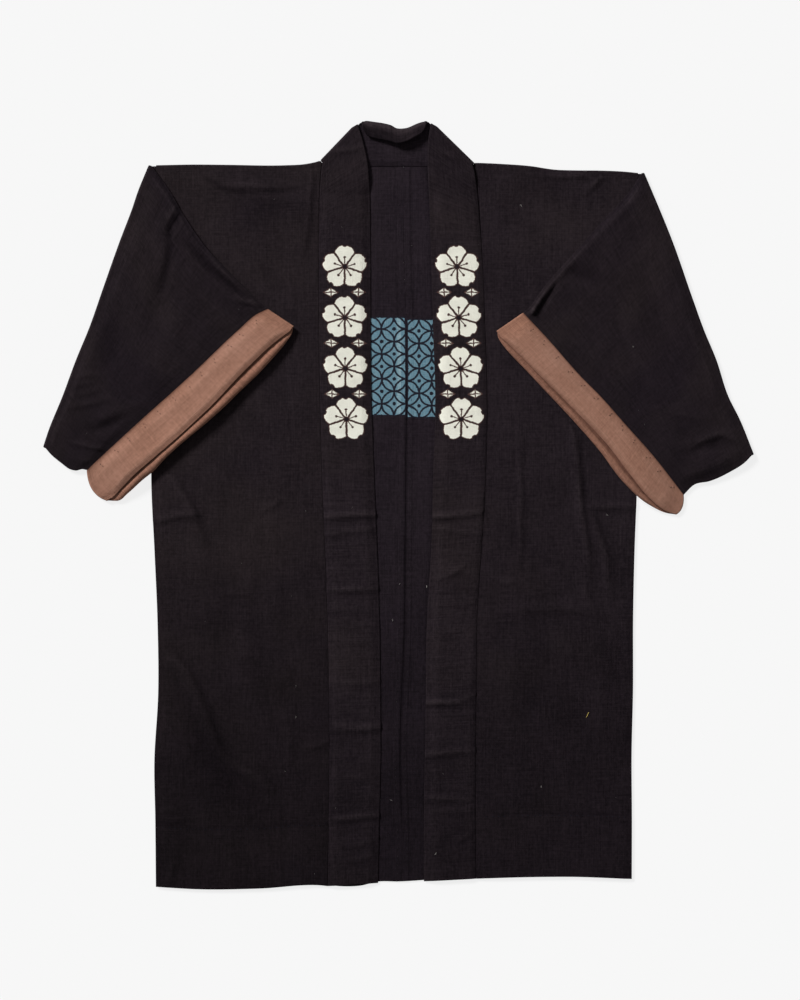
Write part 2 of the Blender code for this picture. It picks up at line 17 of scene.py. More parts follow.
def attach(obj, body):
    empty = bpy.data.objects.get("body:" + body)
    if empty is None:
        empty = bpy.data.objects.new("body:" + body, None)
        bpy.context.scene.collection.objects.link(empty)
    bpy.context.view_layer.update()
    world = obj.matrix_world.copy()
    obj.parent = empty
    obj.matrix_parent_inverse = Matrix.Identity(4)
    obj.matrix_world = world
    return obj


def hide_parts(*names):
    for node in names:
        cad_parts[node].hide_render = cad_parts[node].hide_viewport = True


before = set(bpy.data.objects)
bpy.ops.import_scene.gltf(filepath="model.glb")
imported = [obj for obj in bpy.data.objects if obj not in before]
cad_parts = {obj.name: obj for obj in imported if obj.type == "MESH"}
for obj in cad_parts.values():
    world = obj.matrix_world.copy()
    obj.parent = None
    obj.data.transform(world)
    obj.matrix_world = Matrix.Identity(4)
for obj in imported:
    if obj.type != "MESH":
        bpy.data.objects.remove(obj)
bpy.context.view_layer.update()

MM = 0.001  # the tables' millimetres in metres

# Cloth, as in the frame
CLOTH = 1.2  # one layer
SLACK = 0.6  # air between the two layers of a panel or a sleeve
SEAM = 0.3  # gap between two pieces at a seam
STACK = 2 * CLOTH + SLACK
CUFF_PROUD = 0.4  # how far a cuff stands out from its sleeve
CUFF_SEAM = 0.4  # gap between a cuff and its sleeve
PUFF = 2.2  # air under the upper layer of a sleeve
CUFF_WIDTH = 36.0
LIP_RISE = 3.2  # how far the near lip of a cuff stands off the one beneath it
LIP_START = 0.35  # share of the cuff's width in which it comes up
LIP_ROLL = 2.6  # how far its edge rolls down again
LIP_ROLL_WIDTH = 5.5
FAR_RISE = 2.6  # height of the roll along the lip beneath
LIPS_CLOSED = 26.0  # how far from its corners a cuff starts to be fully open
CORNER_TUCK = 0.06  # how much narrower it is at the corners, as a share
CORNER_WIDTH = 4.0
BAND = 3.0  # the collar, a doubled strip pressed flat
SEAM_TAPER = 1.2  # how much flatter the collar is pressed along its seam
FREE_TAPER = 2.2  # and along its free edge
SEAM_TAPER_WIDTH = 9.0
FREE_TAPER_WIDTH = 14.0
TIP_PRESS = 0.6  # how much narrower the fold of a mitre is at the free edge, as a share of its width
TIP_WIDTH = 9.0
MITRE_ROUND = 0.3  # how much of its rounding a mitre has along its seam
EDGE_SQUEEZE = 0.62  # how much flatter a sleeve is along its shoulder edge, as a share of its thickness
EDGE_DROP = 0.3  # how much lower that edge lies
SWELL_START = 0.9  # the lower end of a cuff bulges from this share of its width on
SHOULDER_TURN = STACK / 2  # heights of the lines that the cloth turns about
SLEEVE_TURN = 3.8
MITRE_TURN = BAND + SEAM
ROLL_TURN = 4.0
TOP_Y = 424.0  # first and last rows of the station tables
HEM_Y = -473.0
NECK_Y = 421.9  # the back's edge behind the neck
BACK_HEM_SHORT = 1.5  # how much shorter the back is than the fronts
BAND_WIDTH = 62.0  # across the collar
COLLAR_LOW = CLOTH + SEAM  # the underside of a front band
COLLAR_DESCENT = (386.0, 412.0)  # where the bands rise towards the mitres, in Y
SLEEVE_DROOP = 50.0  # how far beyond the coat's edge a sleeve takes to come down to the surface

# How the cloth lies, beyond the frame's forms
CLEAR = 0.3  # least gap between a front and the sleeve over it
HEM_RISE = 0.35  # how much thicker the hem's turn-up makes a front
HEM_TURN_UP = {-1: 77, 1: 79}  # its width on either side
SEAM_HOLD = 30.0  # how far from the collar's seam the front lies loose
SIDE_HOLD = 12.0  # and how far from its side edge
FRONT_LOOSE = 0.9  # how far it stands up there
DIP_LIMIT = 0.5  # how deep a trough of a front can get
SEAM_DIP = 0.25  # depth and width of the dip along the collar's seam
SEAM_DIP_WIDTH = 2.5
ALLOWANCE = 8.2  # width of the centre back seam's allowance, pressed open
ALLOWANCE_RISE = 0.3
ALLOWANCE_COLUMNS = (1.6, 0.9, 0.4, 0.0, -0.4, -0.9)  # distances of the grid's columns from its edge
LADDER = 0.22  # height of the puckers across the allowance
LADDER_LOW = 60.0  # where they begin, in Y
CENTRE_DIP = 0.4  # depth and width of the dip along the centre back seam
CENTRE_DIP_WIDTH = 1.2
CENTRE_SHOWS = (235.0, 65.0, -365.0, -405.0)  # where that seam starts, is in full, begins to end, and ends
INSIDE_LOOSE = 0.35  # how far the back's inside stands up between the collar's bands
START_FREE = 0.12  # share of a sleeve's turned part in which it comes free of the turn
EDGE_BULGE = 0.17  # how far an edge bulges: over half the gap at a seam, so that the pieces meet there

# The grid of the shells
STEP = 3.1  # between columns, and between rows where creases show
HIDDEN_STEP = 7.0  # between rows that nothing shows between
CUFF_STEP = 1.8  # between rows of a cuff
EDGE_STEP = 0.5  # the row or column next to an edge, which keeps the edge's rounding narrow
FOLD_STEP = 15  # between rows round a fold, in degrees
SLEEVE_FOLD_STEP = 12
OPEN_ANGLES = np.radians(np.arange(-75, 76, 25))  # places round the edge of a flattened tube
FLAT_MEAN = 0.15  # mean length of a sleeve's flat part, as a share of its depth
FLAT_SPAN = 110.0  # length of the weave there
OFF_PRINT = 5000.0  # moves a place of the printed pattern away from all its figures

# How much painted shade darkens the colour, how much rubbing pales it, and how the relief does both
ROLL_SHADE = 0.55  # painted shade along the free edge of the roll behind the neck
TROUGH_SHADE = 0.12  # painted shade in a trough of a sleeve, for each millimetre
SEAM_SHADE = 0.15  # painted shade along a seam
HEM_SHADE = 0.4  # painted shade along the end of the hem's turn-up
CENTRE_SHADE = 0.8  # painted shade along the centre back seam
CUFF_SEAM_SHADE = 0.6  # painted shade along the seam of a cuff
MOUTH_SHADE = 0.15  # painted shade along its free edge
BAND_SHADE = {-1: 0.0, 1: 0.5}  # painted shadow inside the back along either band of the collar
SHOULDER_WORN = 0.12  # along the shoulder fold
SLEEVE_WORN = 0.08  # on the hidden parts of a sleeve
# The relief pales crests, as rubbing and as a painted highlight, and paints shade into valleys
RELIEF_GAIN = 0.24  # for each millimetre that a place stands above those beside it
COLLAR_GAIN = 0.4
RELIEF_REACH = 2  # how many places of the grid away those are

# Seeds of the random heights, to which the side, -1 or 1, is added on pairs
FRONT_SEED, SLEEVE_SEED, BACK_SEED, LADDER_SEED, CUFF_SEED, COLLAR_SEED = 10, 20, 30, 33, 40, 51


def rows_of(kind, *values):
    """The values as rows of one kind, one value for each of its fields."""
    count = len(kind._fields)
    return tuple(kind(*values[k : k + count]) for k in range(0, len(values), count))


Station = namedtuple("Station", "y side seam free")
RIGHT_STATIONS = rows_of(
    Station,
    424, -303, -96, -38.6,  393, -304, -98.4, -36.4,  326, -305, -99.4, -35.2,
    226, -306, -99.6, -34.8,  131, -307, -98, -33.6,  31, -309, -95.4, -30.4,
    -57, -304.9, -91.5, -26.8,  -144, -301.2, -88.6, -23.8,  -232, -300.4, -86.8, -22.8,
    -319, -305.2, -86.5, -22.4,  -389, -304, -87.2, -24.1,  -473, -303.2, -88.6, -25.6,
)
LEFT_STATIONS = rows_of(
    Station,
    424, 299.5, 94.2, 36,  393, 299.3, 99, 38,  326, 299, 103.8, 40.4,
    226, 298.5, 108.2, 43.1,  131, 298.5, 111.2, 46.2,  31, 298.2, 109.2, 43.4,
    -57, 295.1, 104.2, 41.2,  -144, 293.3, 98.6, 35.8,  -232, 293.2, 97.4, 34.4,
    -319, 291.4, 96.6, 33.2,  -389, 291.8, 96.4, 32,  -473, 291.6, 97.2, 31.9,
)

Point = namedtuple("Point", "x y")
CENTRE_SEAM = rows_of(
    Point,
    5.8, 424,  6.8, 320,  9.8, 230,  10.2, 130,  9.2, 50,  8.9, 0,  8.2, -60,  8.2, -105,  7.5, -150,
    5.3, -208,  3.3, -256,  2.1, -315,  2.9, -360,  4.3, -390,  4.6, -473,
)
SHOULDER = rows_of(
    Point,
    -303, 422.9,  -255, 423.8,  -218, 423.5,  -139, 423,  -120, 424,  -104, 426.8,  -98, 428.3,  -92, 424.4,
    -86, 422.2,  -80, NECK_Y,  -60, NECK_Y,  60, NECK_Y,  78, NECK_Y,  87, 423,  94, 425.6,  101, 425.8,
    110, 425.5,  132, 424.4,  164, 422,  196, 417.4,  223, 416.5,  255, 416.2,  284, 414.8,  299, 413.3,
)
HEM = rows_of(
    Point,
    -304, -478,  -248, -481,  -173, -480,  -98, -476.1,  -73, -479,  -48, -478.4,  -25, -473.2,  0, -473.1,
    30, -471.4,  60, -469.3,  102, -467.7,  152, -466,  227, -465.6,  292, -468.2,
)

Lap = namedtuple("Lap", "b reach")
Sleeve = namedtuple("Sleeve", "side outline shoulder bottom cuff_line near lap under_y swell")
RIGHT_SLEEVE = Sleeve(
    side=-1,
    outline=rows_of(
        Point,
        -312.8, 423,  -326, 390.6,  -332.9, 370,  -347.9, 330.6,  -369.2, 270.6,  -386.2, 222,
        -403.2, 180.6,  -419.9, 135.6,  -438, 91,  -443.9, 73,
    ),
    shoulder=rows_of(
        Point,
        -288, 393,  -269.4, 361,  -239.4, 318,  -216, 293,  -179.4, 257,  -165, 243.6,
    ),
    bottom=rows_of(
        Point,
        -433, 63.3,  -421, 53.4,  -409, 45,  -401, 43.4,  -395, 45,  -388.4, 43.8,
    ),
    cuff_line=rows_of(
        Point,
        -165, 243.6,  -176, 238.5,  -200.6, 217.5,  -260, 161,  -330, 98,  -388.4, 43.8,
    ),
    near=rows_of(
        Point,
        -129.8, 220,  -154.4, 201.9,  -190.6, 168.1,  -230.6, 125.6,  -270.6, 87.8,  -304, 58.8,
        -331, 35.5,  -347, 19,  -360, 4.6,
    ),
    lap=rows_of(
        Lap,
        0, 0.5,  0.05, 7,  0.2, 14.5,  0.36, 13,  0.5, 11,  0.66, 8.8,  0.74, 10,  0.79, 12,  0.85, 11.4,
        0.93, 9.8,  0.98, 6.6,  1, 0.8,
    ),
    under_y=69.0,
    swell=9.0,
)
LEFT_SLEEVE = Sleeve(
    side=1,
    outline=rows_of(
        Point,
        307.6, 413.6,  317.4, 390.6,  342, 330.6,  368.4, 255.6,  381.6, 219,  397.5, 180.6,  412.2, 135.6,
        427, 105.6,  443.9, 63.8,
    ),
    shoulder=rows_of(
        Point,
        288.8, 389,  258, 355.3,  231.9, 325.8,  213.5, 305.5,  192.5, 281.9,  177.8, 263.8,  165.5, 246,
        157, 238.5,
    ),
    bottom=rows_of(
        Point,
        434, 55.5,  413, 41.6,  388.1, 30.4,  370, 26.5,  356, 13.5,
    ),
    cuff_line=rows_of(
        Point,
        157, 238.5,  185.6, 208.1,  225.6, 162.5,  254.4, 133.1,  281.9, 101.9,  314.4, 65.6,  356, 13.5,
    ),
    near=rows_of(
        Point,
        121.6, 214,  139.4, 198.1,  161.9, 175.6,  198.1, 139.4,  229.4, 108.1,  261.9, 73.1,  289.4, 36.9,
        316, 5.5,  331.6, -6.8,  344.6, -12.4,
    ),
    lap=rows_of(
        Lap,
        0, 0.5,  0.05, 5,  0.2, 7.5,  0.4, 9.5,  0.6, 12,  0.75, 12.5,  0.87, 8,  0.95, 3,  1, 0.8,
    ),
    under_y=62.0,
    swell=4.8,
)

Fan = namedtuple("Fan", "seam_x seam_y free_x free_y")
RIGHT_MITRE = Fan(-95.2, 428.3, -50.8, 474.6)
RIGHT_FAN = rows_of(
    Fan,
    -96.2, 419, -48, 466.5,  -97.2, 407, -43.4, 450.5,  -98.4, 389, -38, 424,  -98.9, 362, -35.8, 384,
)
LEFT_MITRE = Fan(92.6, 424.7, 40.4, 475.7)
LEFT_FAN = rows_of(
    Fan,
    95.2, 415, 38.6, 466.5,  97, 404, 37, 449.5,  99.1, 388, 36.6, 422,  101.3, 360, 38.6, 382,
)

Side = namedtuple("Side", "word side stations sleeve mitre fan")
SIDES = (
    Side("right", -1, RIGHT_STATIONS, RIGHT_SLEEVE, RIGHT_MITRE, RIGHT_FAN),
    Side("left", 1, LEFT_STATIONS, LEFT_SLEEVE, LEFT_MITRE, LEFT_FAN),
)
LEVEL_ROWS = 24  # level rows of a collar band, from below its fan to the hem
FIRST_LEVEL = 3 / 26  # how far down the front the first of them is

Roll = namedtuple("Roll", "seam_x crest_x crest_y angle flap")
COLLAR_BACK = rows_of(
    Roll,
    -80, -49.7, 475.5, 5, 0,  -66, -48.3, 476.8, 10, 0,  -54, -46.4, 478, 70, 0,  -46, -43.8, 479, 150, 8,
    -38, -38.8, 479.5, 180, 15,  -28, -30.5, 478.4, 180, 17,  -18, -20, 477, 178, 18,
    -8, -9.5, 474.4, 172, 18,  0, -1.5, 470.2, 166, 17,  10, 10.5, 470.8, 162, 16,
    20, 21.5, 475.4, 162, 15,  29, 28.6, 478, 166, 12,  37, 33, 479.2, 150, 6,  48, 36, 479, 70, 0,
    61, 38.2, 477.6, 10, 0,  76, 39.4, 476.4, 5, 0,
)
ROLL_STARTS = 0.74  # share of the collar's width behind the neck that lies flat, below the roll

# Creases: soft ridges, or troughs where the height is negative, along a curve through the places of a line.
# skew widens the side to the left of the line, seen along it, so that the other side is the steep one.
Crease = namedtuple("Crease", "width skew line")
Spot = namedtuple("Spot", "x y height")


def creases(*numbers):
    """Creases, each given as its width and its skew, and then the three numbers of each spot."""
    return tuple(Crease(width, skew, rows_of(Spot, *line)) for width, skew, *line in numbers)


FRONT_CREASES = creases(
    (5, 2.4,  -241, -69, 0.4,  -248, -38, 2.4,  -257, -13, 3.6,  -269, 11, 3.3,  -284, 33, 1.5),
    (2.2, 3,  -302, -21, 1.8,  -279, -16, 2.7,  -253, -13, 1.5),
    (2.4, 2,  -177, -12, 0.4,  -158, -2, 1.5,  -138, 11, 0.3),
    (5, 2.2,  -149, -377, 0.3,  -156, -362, 1.5,  -177, -342, 3,  -194, -331, 3.3,  -217, -316, 2.7,
     -232, -288, 3.3,  -242, -259, 3.9,  -254, -232, 3.9,  -266, -208, 3.6,  -281, -194, 2.4,
     -294, -187, 0.4),
    (14, 1,  -171, -363, -0.4,  -196, -339, -1.8,  -218, -309, -2.1,  -231, -276, -0.9),
    (2, 2,  -301, -394, 0.6,  -283, -397, 1.7,  -261, -392, 0.4),
    (1.8, 2,  -298, -383, 0.4,  -281, -383, 1.2,  -266, -387, 0.3),
    (2.2, 2,  -281, -436, 0.4,  -284, -453, 1.5,  -287, -468, 0.8),
    (8, 1.5,  -207, -464, 0.8,  -209, -432, 1.4,  -213, -394, 0.3),
    (3, 2,  -123, -309, 0.3,  -104, -303, 1.2,  -89, -297, 0.8),
    (12, 1.4,  -152, -172, 0.3,  -157, -119, 1.8,  -154, -64, 0.3),
    (2.4, 2,  -221, -112, 0.3,  -207, -112, 1,  -192, -113, 0.2),
    (3, 2,  -241, 413, 0.4,  -229, 407, 1.8,  -216, 399, 1.7,  -201, 397, 0.6),
    (3, 2,  -216, 397, 0.6,  -192, 397, 2,  -163, 397, 2,  -133, 397, 0.8),
    (7, 1.2,  -183, 387, 0.3,  -154, 382, 1.4,  -123, 381, 0.6),
    (1.7, 3,  -116, 318, 0.3,  -112, 348, 1.5,  -110, 373, 1.8,  -109, 393, 1.5,  -107, 414, 0.6),
    (10, 1.5,  -183, -244, 0.3,  -191, -169, 1.4,  -186, -69, 0.3),
    (9, 1.5,  -131, -369, 0.3,  -138, -294, 1.4,  -133, -219, 0.2),
    (3.2, 3,  241, -89, 0.6,  238, -63, 2.1,  234, -38, 3.3,  229, -7, 3.9,  226, 31, 3.6,  223, 62, 3.3,
     219, 98, 2.1),
    (4, 2,  247, -137, 0.4,  237, -117, 2,  229, -92, 0.3),
    (4, 2,  263, -112, 0.6,  262, -88, 2.4,  258, -61, 3,  248, -32, 2,  239, -4, 0.6),
    (2, 3,  233, -4, 0.9,  262, -4, 2.4,  294, -4, 1.8),
    (1.7, 3,  152, -77, 0.3,  153, -44, 1.4,  154, 6, 1.7,  153, 56, 1.2,  152, 96, 0.4),
    (6, 1.6,  127, -133, 0.3,  164, -131, 1.5,  194, -129, 2.2,  227, -132, 2,  252, -137, 0.4),
    (2, 2,  124, -96, 0.3,  134, -97, 1.4,  147, -98, 0.3),
    (1.7, 2,  123, -278, 0.3,  133, -278, 1.4,  144, -279, 0.3),
    (2, 2,  239, -377, 0.4,  248, -379, 1.4,  256, -384, 0.3),
    (2.2, 2.4,  168, 411, 0.4,  196, 410, 1.8,  221, 410, 2.1,  242, 411, 0.6),
    (2.4, 2,  232, 387, 0.3,  239, 394, 1.7,  248, 403, 2.2,  257, 412, 0.4),
    (13, 1.5,  202, -344, 0.3,  192, -257, 1.7,  197, -169, 0.3),
    (11, 1.5,  144, -319, 0.3,  138, -232, 1.2,  142, -169, 0.3),
    (10, 1.5,  259, -369, 0.3,  253, -269, 1.4,  257, -182, 0.3),
    (5, 1.5,  127, 218, 0.2,  142, 213, 0.8,  157, 211, 0.2),
)
SLEEVE_CREASES = creases(
    (2.2, 1.4,  -287, 396, 0.4,  -298, 411, 1.7,  -308, 419, 0.7),
    (3, 3,  -292, 339, 0.8,  -288, 353, 2,  -279, 366, 2.3,  -277, 377, 1.7,  -283, 391, 0.5),
    (6, 2.2,  -304, 266, 0.4,  -298, 291, 1.7,  -293, 318, 2.1,  -294, 346, 0.9),
    (3.6, 1.5,  -272, 362, 1.6,  -254, 339, 3.1,  -241, 321, 3.6,  -221, 294, 4.4,  -201, 276, 4.2,
     -179, 257, 1.8),
    (3.2, 2,  -406, 159, 0.4,  -388, 162, 1.3,  -371, 162, 0.4),
    (3, 2,  -408, 147, 0.4,  -392, 152, 1.2,  -376, 154, 0.4),
    (3, 2,  -408, 136, 0.4,  -388, 139, 1,  -369, 146, 0.4),
    (3.4, 2,  -416, 123, 0.4,  -386, 126, 1.6,  -363, 132, 0.5),
    (7, 1.5,  -386, 98, 0.4,  -361, 109, 2.5,  -338, 118, 0.8),
    (2.3, 2.5,  -409, 78, 0.5,  -393, 74, 2.2,  -381, 71, 2.7,  -364, 68, 1),
    (4, 2,  -403, 59, 0.4,  -388, 54, 1.4,  -376, 48, 0.4),
    (7, 1.5,  -411, 146, 0.3,  -391, 199, 0.9,  -368, 262, 1.3,  -346, 324, 1.3,  -323, 381, 0.4),
    (1.9, 3,  -201, 254, 0.5,  -186, 252, 1.3,  -171, 251, 0.8),
    (12, 1.5,  -311, 166, 0.7,  -286, 206, 1.8,  -266, 256, 0.4),
    (20, 1.3,  -351, 21, 3.5,  -278, 69, 6.5,  -203, 136, 6,  -133, 211, 3.5),
    (2.6, 1.2,  167, 241, 5.5,  181, 262, 5.2,  196, 281, 3.9,  216, 304, 2.3,  234, 325, 1.6,
     252, 346, 0.8,  272, 369, 0.4,  302, 404, 0.1),
    (4, 2,  327, 119, 0.3,  357, 112, 1.3,  384, 106, 0.3),
    (3.2, 2.5,  359, 69, 0.4,  377, 79, 2,  388, 83, 2.7,  402, 87, 3,  413, 84, 2,  424, 79, 0.4),
    (8, 1.5,  352, 31, 0.5,  377, 43, 2.5,  397, 51, 1.7,  417, 54, 0.3),
    (14, 1.4,  314, 141, 0.5,  287, 199, 1.6,  267, 256, 0.3),
    (8, 1.5,  321, 362, 0.4,  347, 293, 1.3,  374, 212, 1.3,  399, 137, 0.4),
    (18, 1.3,  144, 211, 1.6,  219, 131, 3.4,  279, 66, 3.4,  329, 11, 1.6),
)
# Painted shade along folds of the fronts, where negative heights darken the colour;
# the last two rows are dark marks at the hem's tacks
FRONT_PAINTED_SHADE_AND_TACK_MARKS = creases(
    (19, 1,  -156, -384, -0.08,  -192, -366, -0.36,  -230, -322, -0.42,  -256, -262, -0.3,
     -279, -206, -0.08),
    (2, 1,  -117, 311, -0.1,  -114, 333, -0.4,  -110, 373, -0.55,  -107, 409, -0.3),
    (7, 1,  -186, 383, -0.12,  -216, 397, -0.3,  -242, 412, -0.1),
    (2.4, 1,  -198, 393, -0.2,  -163, 392, -0.3,  -131, 393, -0.15),
    (2.2, 1,  -147, -19, -0.05,  -148, 43, -0.14,  -147, 93, -0.05),
    (2.6, 1,  -301, -396, -0.5,  -284, -396, -0.6,  -264, -395, -0.2),
    (2.2, 1,  251, -396, -0.15,  270, -397, -0.3,  290, -399, -0.3),
)
SLEEVE_TROUGHS = creases(
    (4.6, 1.5,  -266, 328, -1,  -248, 308, -2.8,  -229, 289, -3.4,  -207, 272, -3.2,  -188, 258, -2.2),
    (1.9, 1.3,  -269, 377, -1,  -271, 371, -2.6,  -278, 358, -3,  -285, 346, -2.2,  -286, 331, -1),
    (1.3, 1.2,  -199, 250, -0.8,  -186, 248, -2.2,  -171, 246, -1.2),
    (4, 1.3,  -296, 268, -0.8,  -288, 296, -1.6,  -285, 323, -0.9),
    (4.6, 1.2,  173, 234, -3.2,  179, 252, -3.6,  189, 269, -3,  198, 287, -1.2),
    (8, 1.4,  204, 293, -1,  224, 289, -2.2,  256, 279, -0.9),
    (6, 1.3,  -383, 93, -0.8,  -361, 101, -1.8,  -336, 112, -0.8),
    (12, 1.3,  -373, 149, -0.3,  -358, 193, -1.4,  -348, 243, -0.2),
    (9, 1.3,  -311, 218, -0.2,  -298, 256, -1.3,  -311, 306, -0.3),
    (11, 1.3,  339, 168, -0.3,  321, 231, -1.4,  302, 306, -0.2),
    (8, 1.3,  302, 156, -0.3,  279, 199, -1.2,  267, 256, -0.2),
    (5, 1.3,  364, 66, -0.4,  392, 73, -1.4,  417, 73, -0.4),
)
COLLAR_CREASES = creases(
    (2.6, 2.5,  -101, -17, 1.1,  -86, -16, 2.2,  -61, -14, 2.8,  -27, -13, 1.9),
    (2.2, 2,  -94, -36, 0.7,  -61, -33, 1.3,  -31, -31, 0.5),
    (2.4, 2,  -82, -62, 0.2,  -54, -59, 0.7,  -31, -56, 0.4),
    (2, 2.5,  -97, -108, 0.8,  -63, -107, 1.8,  -27, -107, 1.1),
    (3, 2,  -93, -132, 0.2,  -67, -131, 0.6,  -39, -129, 0.2),
    (4, 1.5,  -91, -167, 0.2,  -61, -171, 0.8,  -31, -174, 0.2),
    (2.2, 2.5,  -88, -224, 0.6,  -61, -224, 1.4,  -27, -222, 1),
    (1.8, 2,  -89, -274, 0.8,  -69, -274, 1.3,  -48, -273, 0.2),
    (3, 2,  -83, -281, 1,  -54, -281, 2.4,  -24, -279, 1.7),
    (2, 2,  -69, -341, 0.4,  -53, -341, 1.1,  -37, -341, 0.2),
    (1.8, 2.5,  -88, -395, 1,  -61, -392, 2.3,  -26, -390, 1.6),
    (2.2, 2,  -63, -428, 0.2,  -42, -423, 1.2,  -26, -418, 0.8),
    (2.2, 2,  -69, -447, 0.2,  -46, -442, 1,  -26, -436, 0.6),
    (2.2, 2,  -87, 440, 0.5,  -63, 443, 1.3,  -38, 447, 0.5),
    (5, 1.5,  -96, 362, 0.1,  -67, 366, 0.6,  -38, 363, 0.1),
    (1.8, 3,  41, -16, 2.6,  58, -15, 3.4,  74, -14, 2.6,  104, -10, 1.6),
    (2.6, 2,  42, -29, 0.8,  64, -32, 1.4,  81, -35, 1.4,  104, -37, 0.6),
    (2.4, 2,  41, -92, 0.6,  62, -89, 1.6,  74, -82, 1.4,  86, -74, 0.4),
    (4, 1.5,  42, -119, 0.1,  71, -122, 0.6,  98, -119, 0.2),
    (4, 1.5,  39, -157, 0.2,  64, -158, 0.6,  92, -156, 0.2),
    (2, 2.5,  37, -249, 2.9,  52, -248, 3.1,  67, -248, 1.8,  97, -238, 1),
    (2.6, 2.2,  34, -314, 2.4,  48, -312, 2.6,  64, -311, 2.2,  98, -308, 1.3),
    (1.8, 2.5,  33, -366, 1,  54, -368, 1.6,  81, -369, 1.1,  97, -369, 0.2),
    (1.7, 2,  68, -423, 0.2,  82, -416, 1.2,  96, -407, 0.7),
    (1.8, 2,  33, -384, 0.5,  64, -383, 1,  97, -382, 0.5),
    (5, 1.5,  42, 349, 0.1,  67, 353, 0.6,  94, 351, 0.1),
    (2.2, 2,  41, 443, 0.4,  62, 437, 1,  79, 431, 0.2),
)
BACK_INSIDE_CREASES = creases(
    (2, 2.5,  -26, -18, 0.4,  -13, -16, 0.5,  2, -14, 0.2),
    (2, 2.5,  -22, -28, 0.3,  -9, -26, 0.5,  3, -23, 0.2),
    (1.8, 2.5,  -26, -395, 0.4,  2, -394, 0.5,  36, -392, 0.4),
)


# --- curves and heights ---------------------------------------------------------------------------


def smooth(knots, values, at):
    """A cubic curve through the values at the knots, straight on beyond both ends."""
    knots = np.asarray(knots, float)
    values = np.asarray(values, float)
    at = np.asarray(at, float)
    if knots[0] > knots[-1]:
        knots, values = knots[::-1], values[::-1]
    slopes = np.gradient(values, knots, axis=0)
    i = np.clip(np.searchsorted(knots, at, side="right") - 1, 0, len(knots) - 2)
    span = knots[i + 1] - knots[i]
    t = np.clip((at - knots[i]) / span, 0, 1)
    before = np.minimum(at - knots[0], 0)
    after = np.maximum(at - knots[-1], 0)
    if values.ndim == 2:
        span, t, before, after = (a[..., None] for a in (span, t, before, after))
    rise = values[i + 1] - values[i]
    bend = slopes[i] * span - rise
    other_bend = slopes[i + 1] * span - rise
    curve = values[i] + t * rise + t * (1 - t) * ((1 - t) * bend - t * other_bend)
    return curve + slopes[0] * before + slopes[-1] * after


def along(points):
    """A function of 0 to 1 that follows the points by their distance."""
    places = np.array([tuple(p) for p in points], float)
    steps = np.linalg.norm(np.diff(places[:, :2], axis=0), axis=1)
    reached = np.concatenate(([0.0], np.cumsum(steps))) / steps.sum()
    return lambda t: smooth(reached, places, t)


def line_y(points, x):
    return smooth([p.x for p in points], [p.y for p in points], x)


def line_x(points, y):
    return smooth([p.y for p in points], [p.x for p in points], y)


def station(stations, field, y):
    return smooth([s.y for s in stations], [getattr(s, field) for s in stations], y)


def mix(a, b, t):
    return a + (b - a) * t


def ease(t):
    t = np.clip(t, 0.0, 1.0)
    return t * t * (3 - 2 * t)


def unit(run):
    """Directions of length 1."""
    return run / np.maximum(np.linalg.norm(run, axis=-1, keepdims=True), 1e-9)


def bell(distance, width):
    return np.exp(-((distance / width) ** 2))


def crease_height(creases, x, y):
    """The sum of the creases at each place."""
    total = np.zeros(np.shape(x))
    for crease in creases:
        curve = along(crease.line)(np.linspace(0, 1, 12 * len(crease.line)))
        reach = 3 * crease.width * max(crease.skew, 1)
        low, high = curve[:, :2].min(axis=0) - reach, curve[:, :2].max(axis=0) + reach
        near = (x > low[0]) & (x < high[0]) & (y > low[1]) & (y < high[1])
        away_x = x[near][:, None] - curve[:, 0]
        away_y = y[near][:, None] - curve[:, 1]
        distances = np.hypot(away_x, away_y)
        k = np.argmin(distances, axis=1)
        each = np.arange(len(k))
        along_x, along_y = np.gradient(curve[:, 0])[k], np.gradient(curve[:, 1])[k]
        left = along_x * away_y[each, k] > along_y * away_x[each, k]
        width = np.where(left, crease.width * crease.skew, crease.width)
        total[near] += curve[k, 2] * bell(distances[each, k], width)
    return total


def lumps(seed, x, y, size_x, size_y):
    """Smooth random heights from -1 to 1, in lumps of about the given sizes."""
    table = np.random.default_rng(seed).uniform(-1, 1, (61, 67))
    u, v = x / size_x, y / size_y
    i, j = np.floor(u).astype(int), np.floor(v).astype(int)
    s, t = ease(u - i), ease(v - j)
    rows, columns = table.shape

    def at(di, dj):
        return table[(i + di) % rows, (j + dj) % columns]

    return mix(mix(at(0, 0), at(1, 0), s), mix(at(0, 1), at(1, 1), s), t)


def undulation(seed, x, y, height):
    """The slight unevenness of cloth that lies loose: long soft swells, and small puckers on them."""
    turned_x, turned_y = 0.8 * x + 0.6 * y, 0.8 * y - 0.6 * x
    swell = lumps(seed, x, y, 30, 64) + 0.6 * lumps(seed + 1, turned_x, turned_y, 24, 44)
    pucker = lumps(seed + 2, x, y, 9, 15) + 0.7 * lumps(seed + 3, turned_x, turned_y, 6.5, 10)
    return height * (0.6 * swell + 0.17 * pucker)


def relief_wear_and_shade(z, gain=RELIEF_GAIN):
    """Above 0 on crests of a grid of heights, rubbed pale, painted highlit; below 0 in valleys, painted
    shade.
    """
    reach = RELIEF_REACH
    padded = np.pad(z, reach, mode="edge")
    level, across = padded[reach:-reach], padded[:, reach:-reach]
    beside = level[:, : -2 * reach] + level[:, 2 * reach :] + across[: -2 * reach] + across[2 * reach :]
    return np.clip(gain * (z - beside / 4), -1, 1)


def arc(turn, h, angle):
    """How far out and how high a point at height h goes on a fold about a line at the height of turn."""
    return (turn - h) * np.sin(angle), turn - (turn - h) * np.cos(angle)


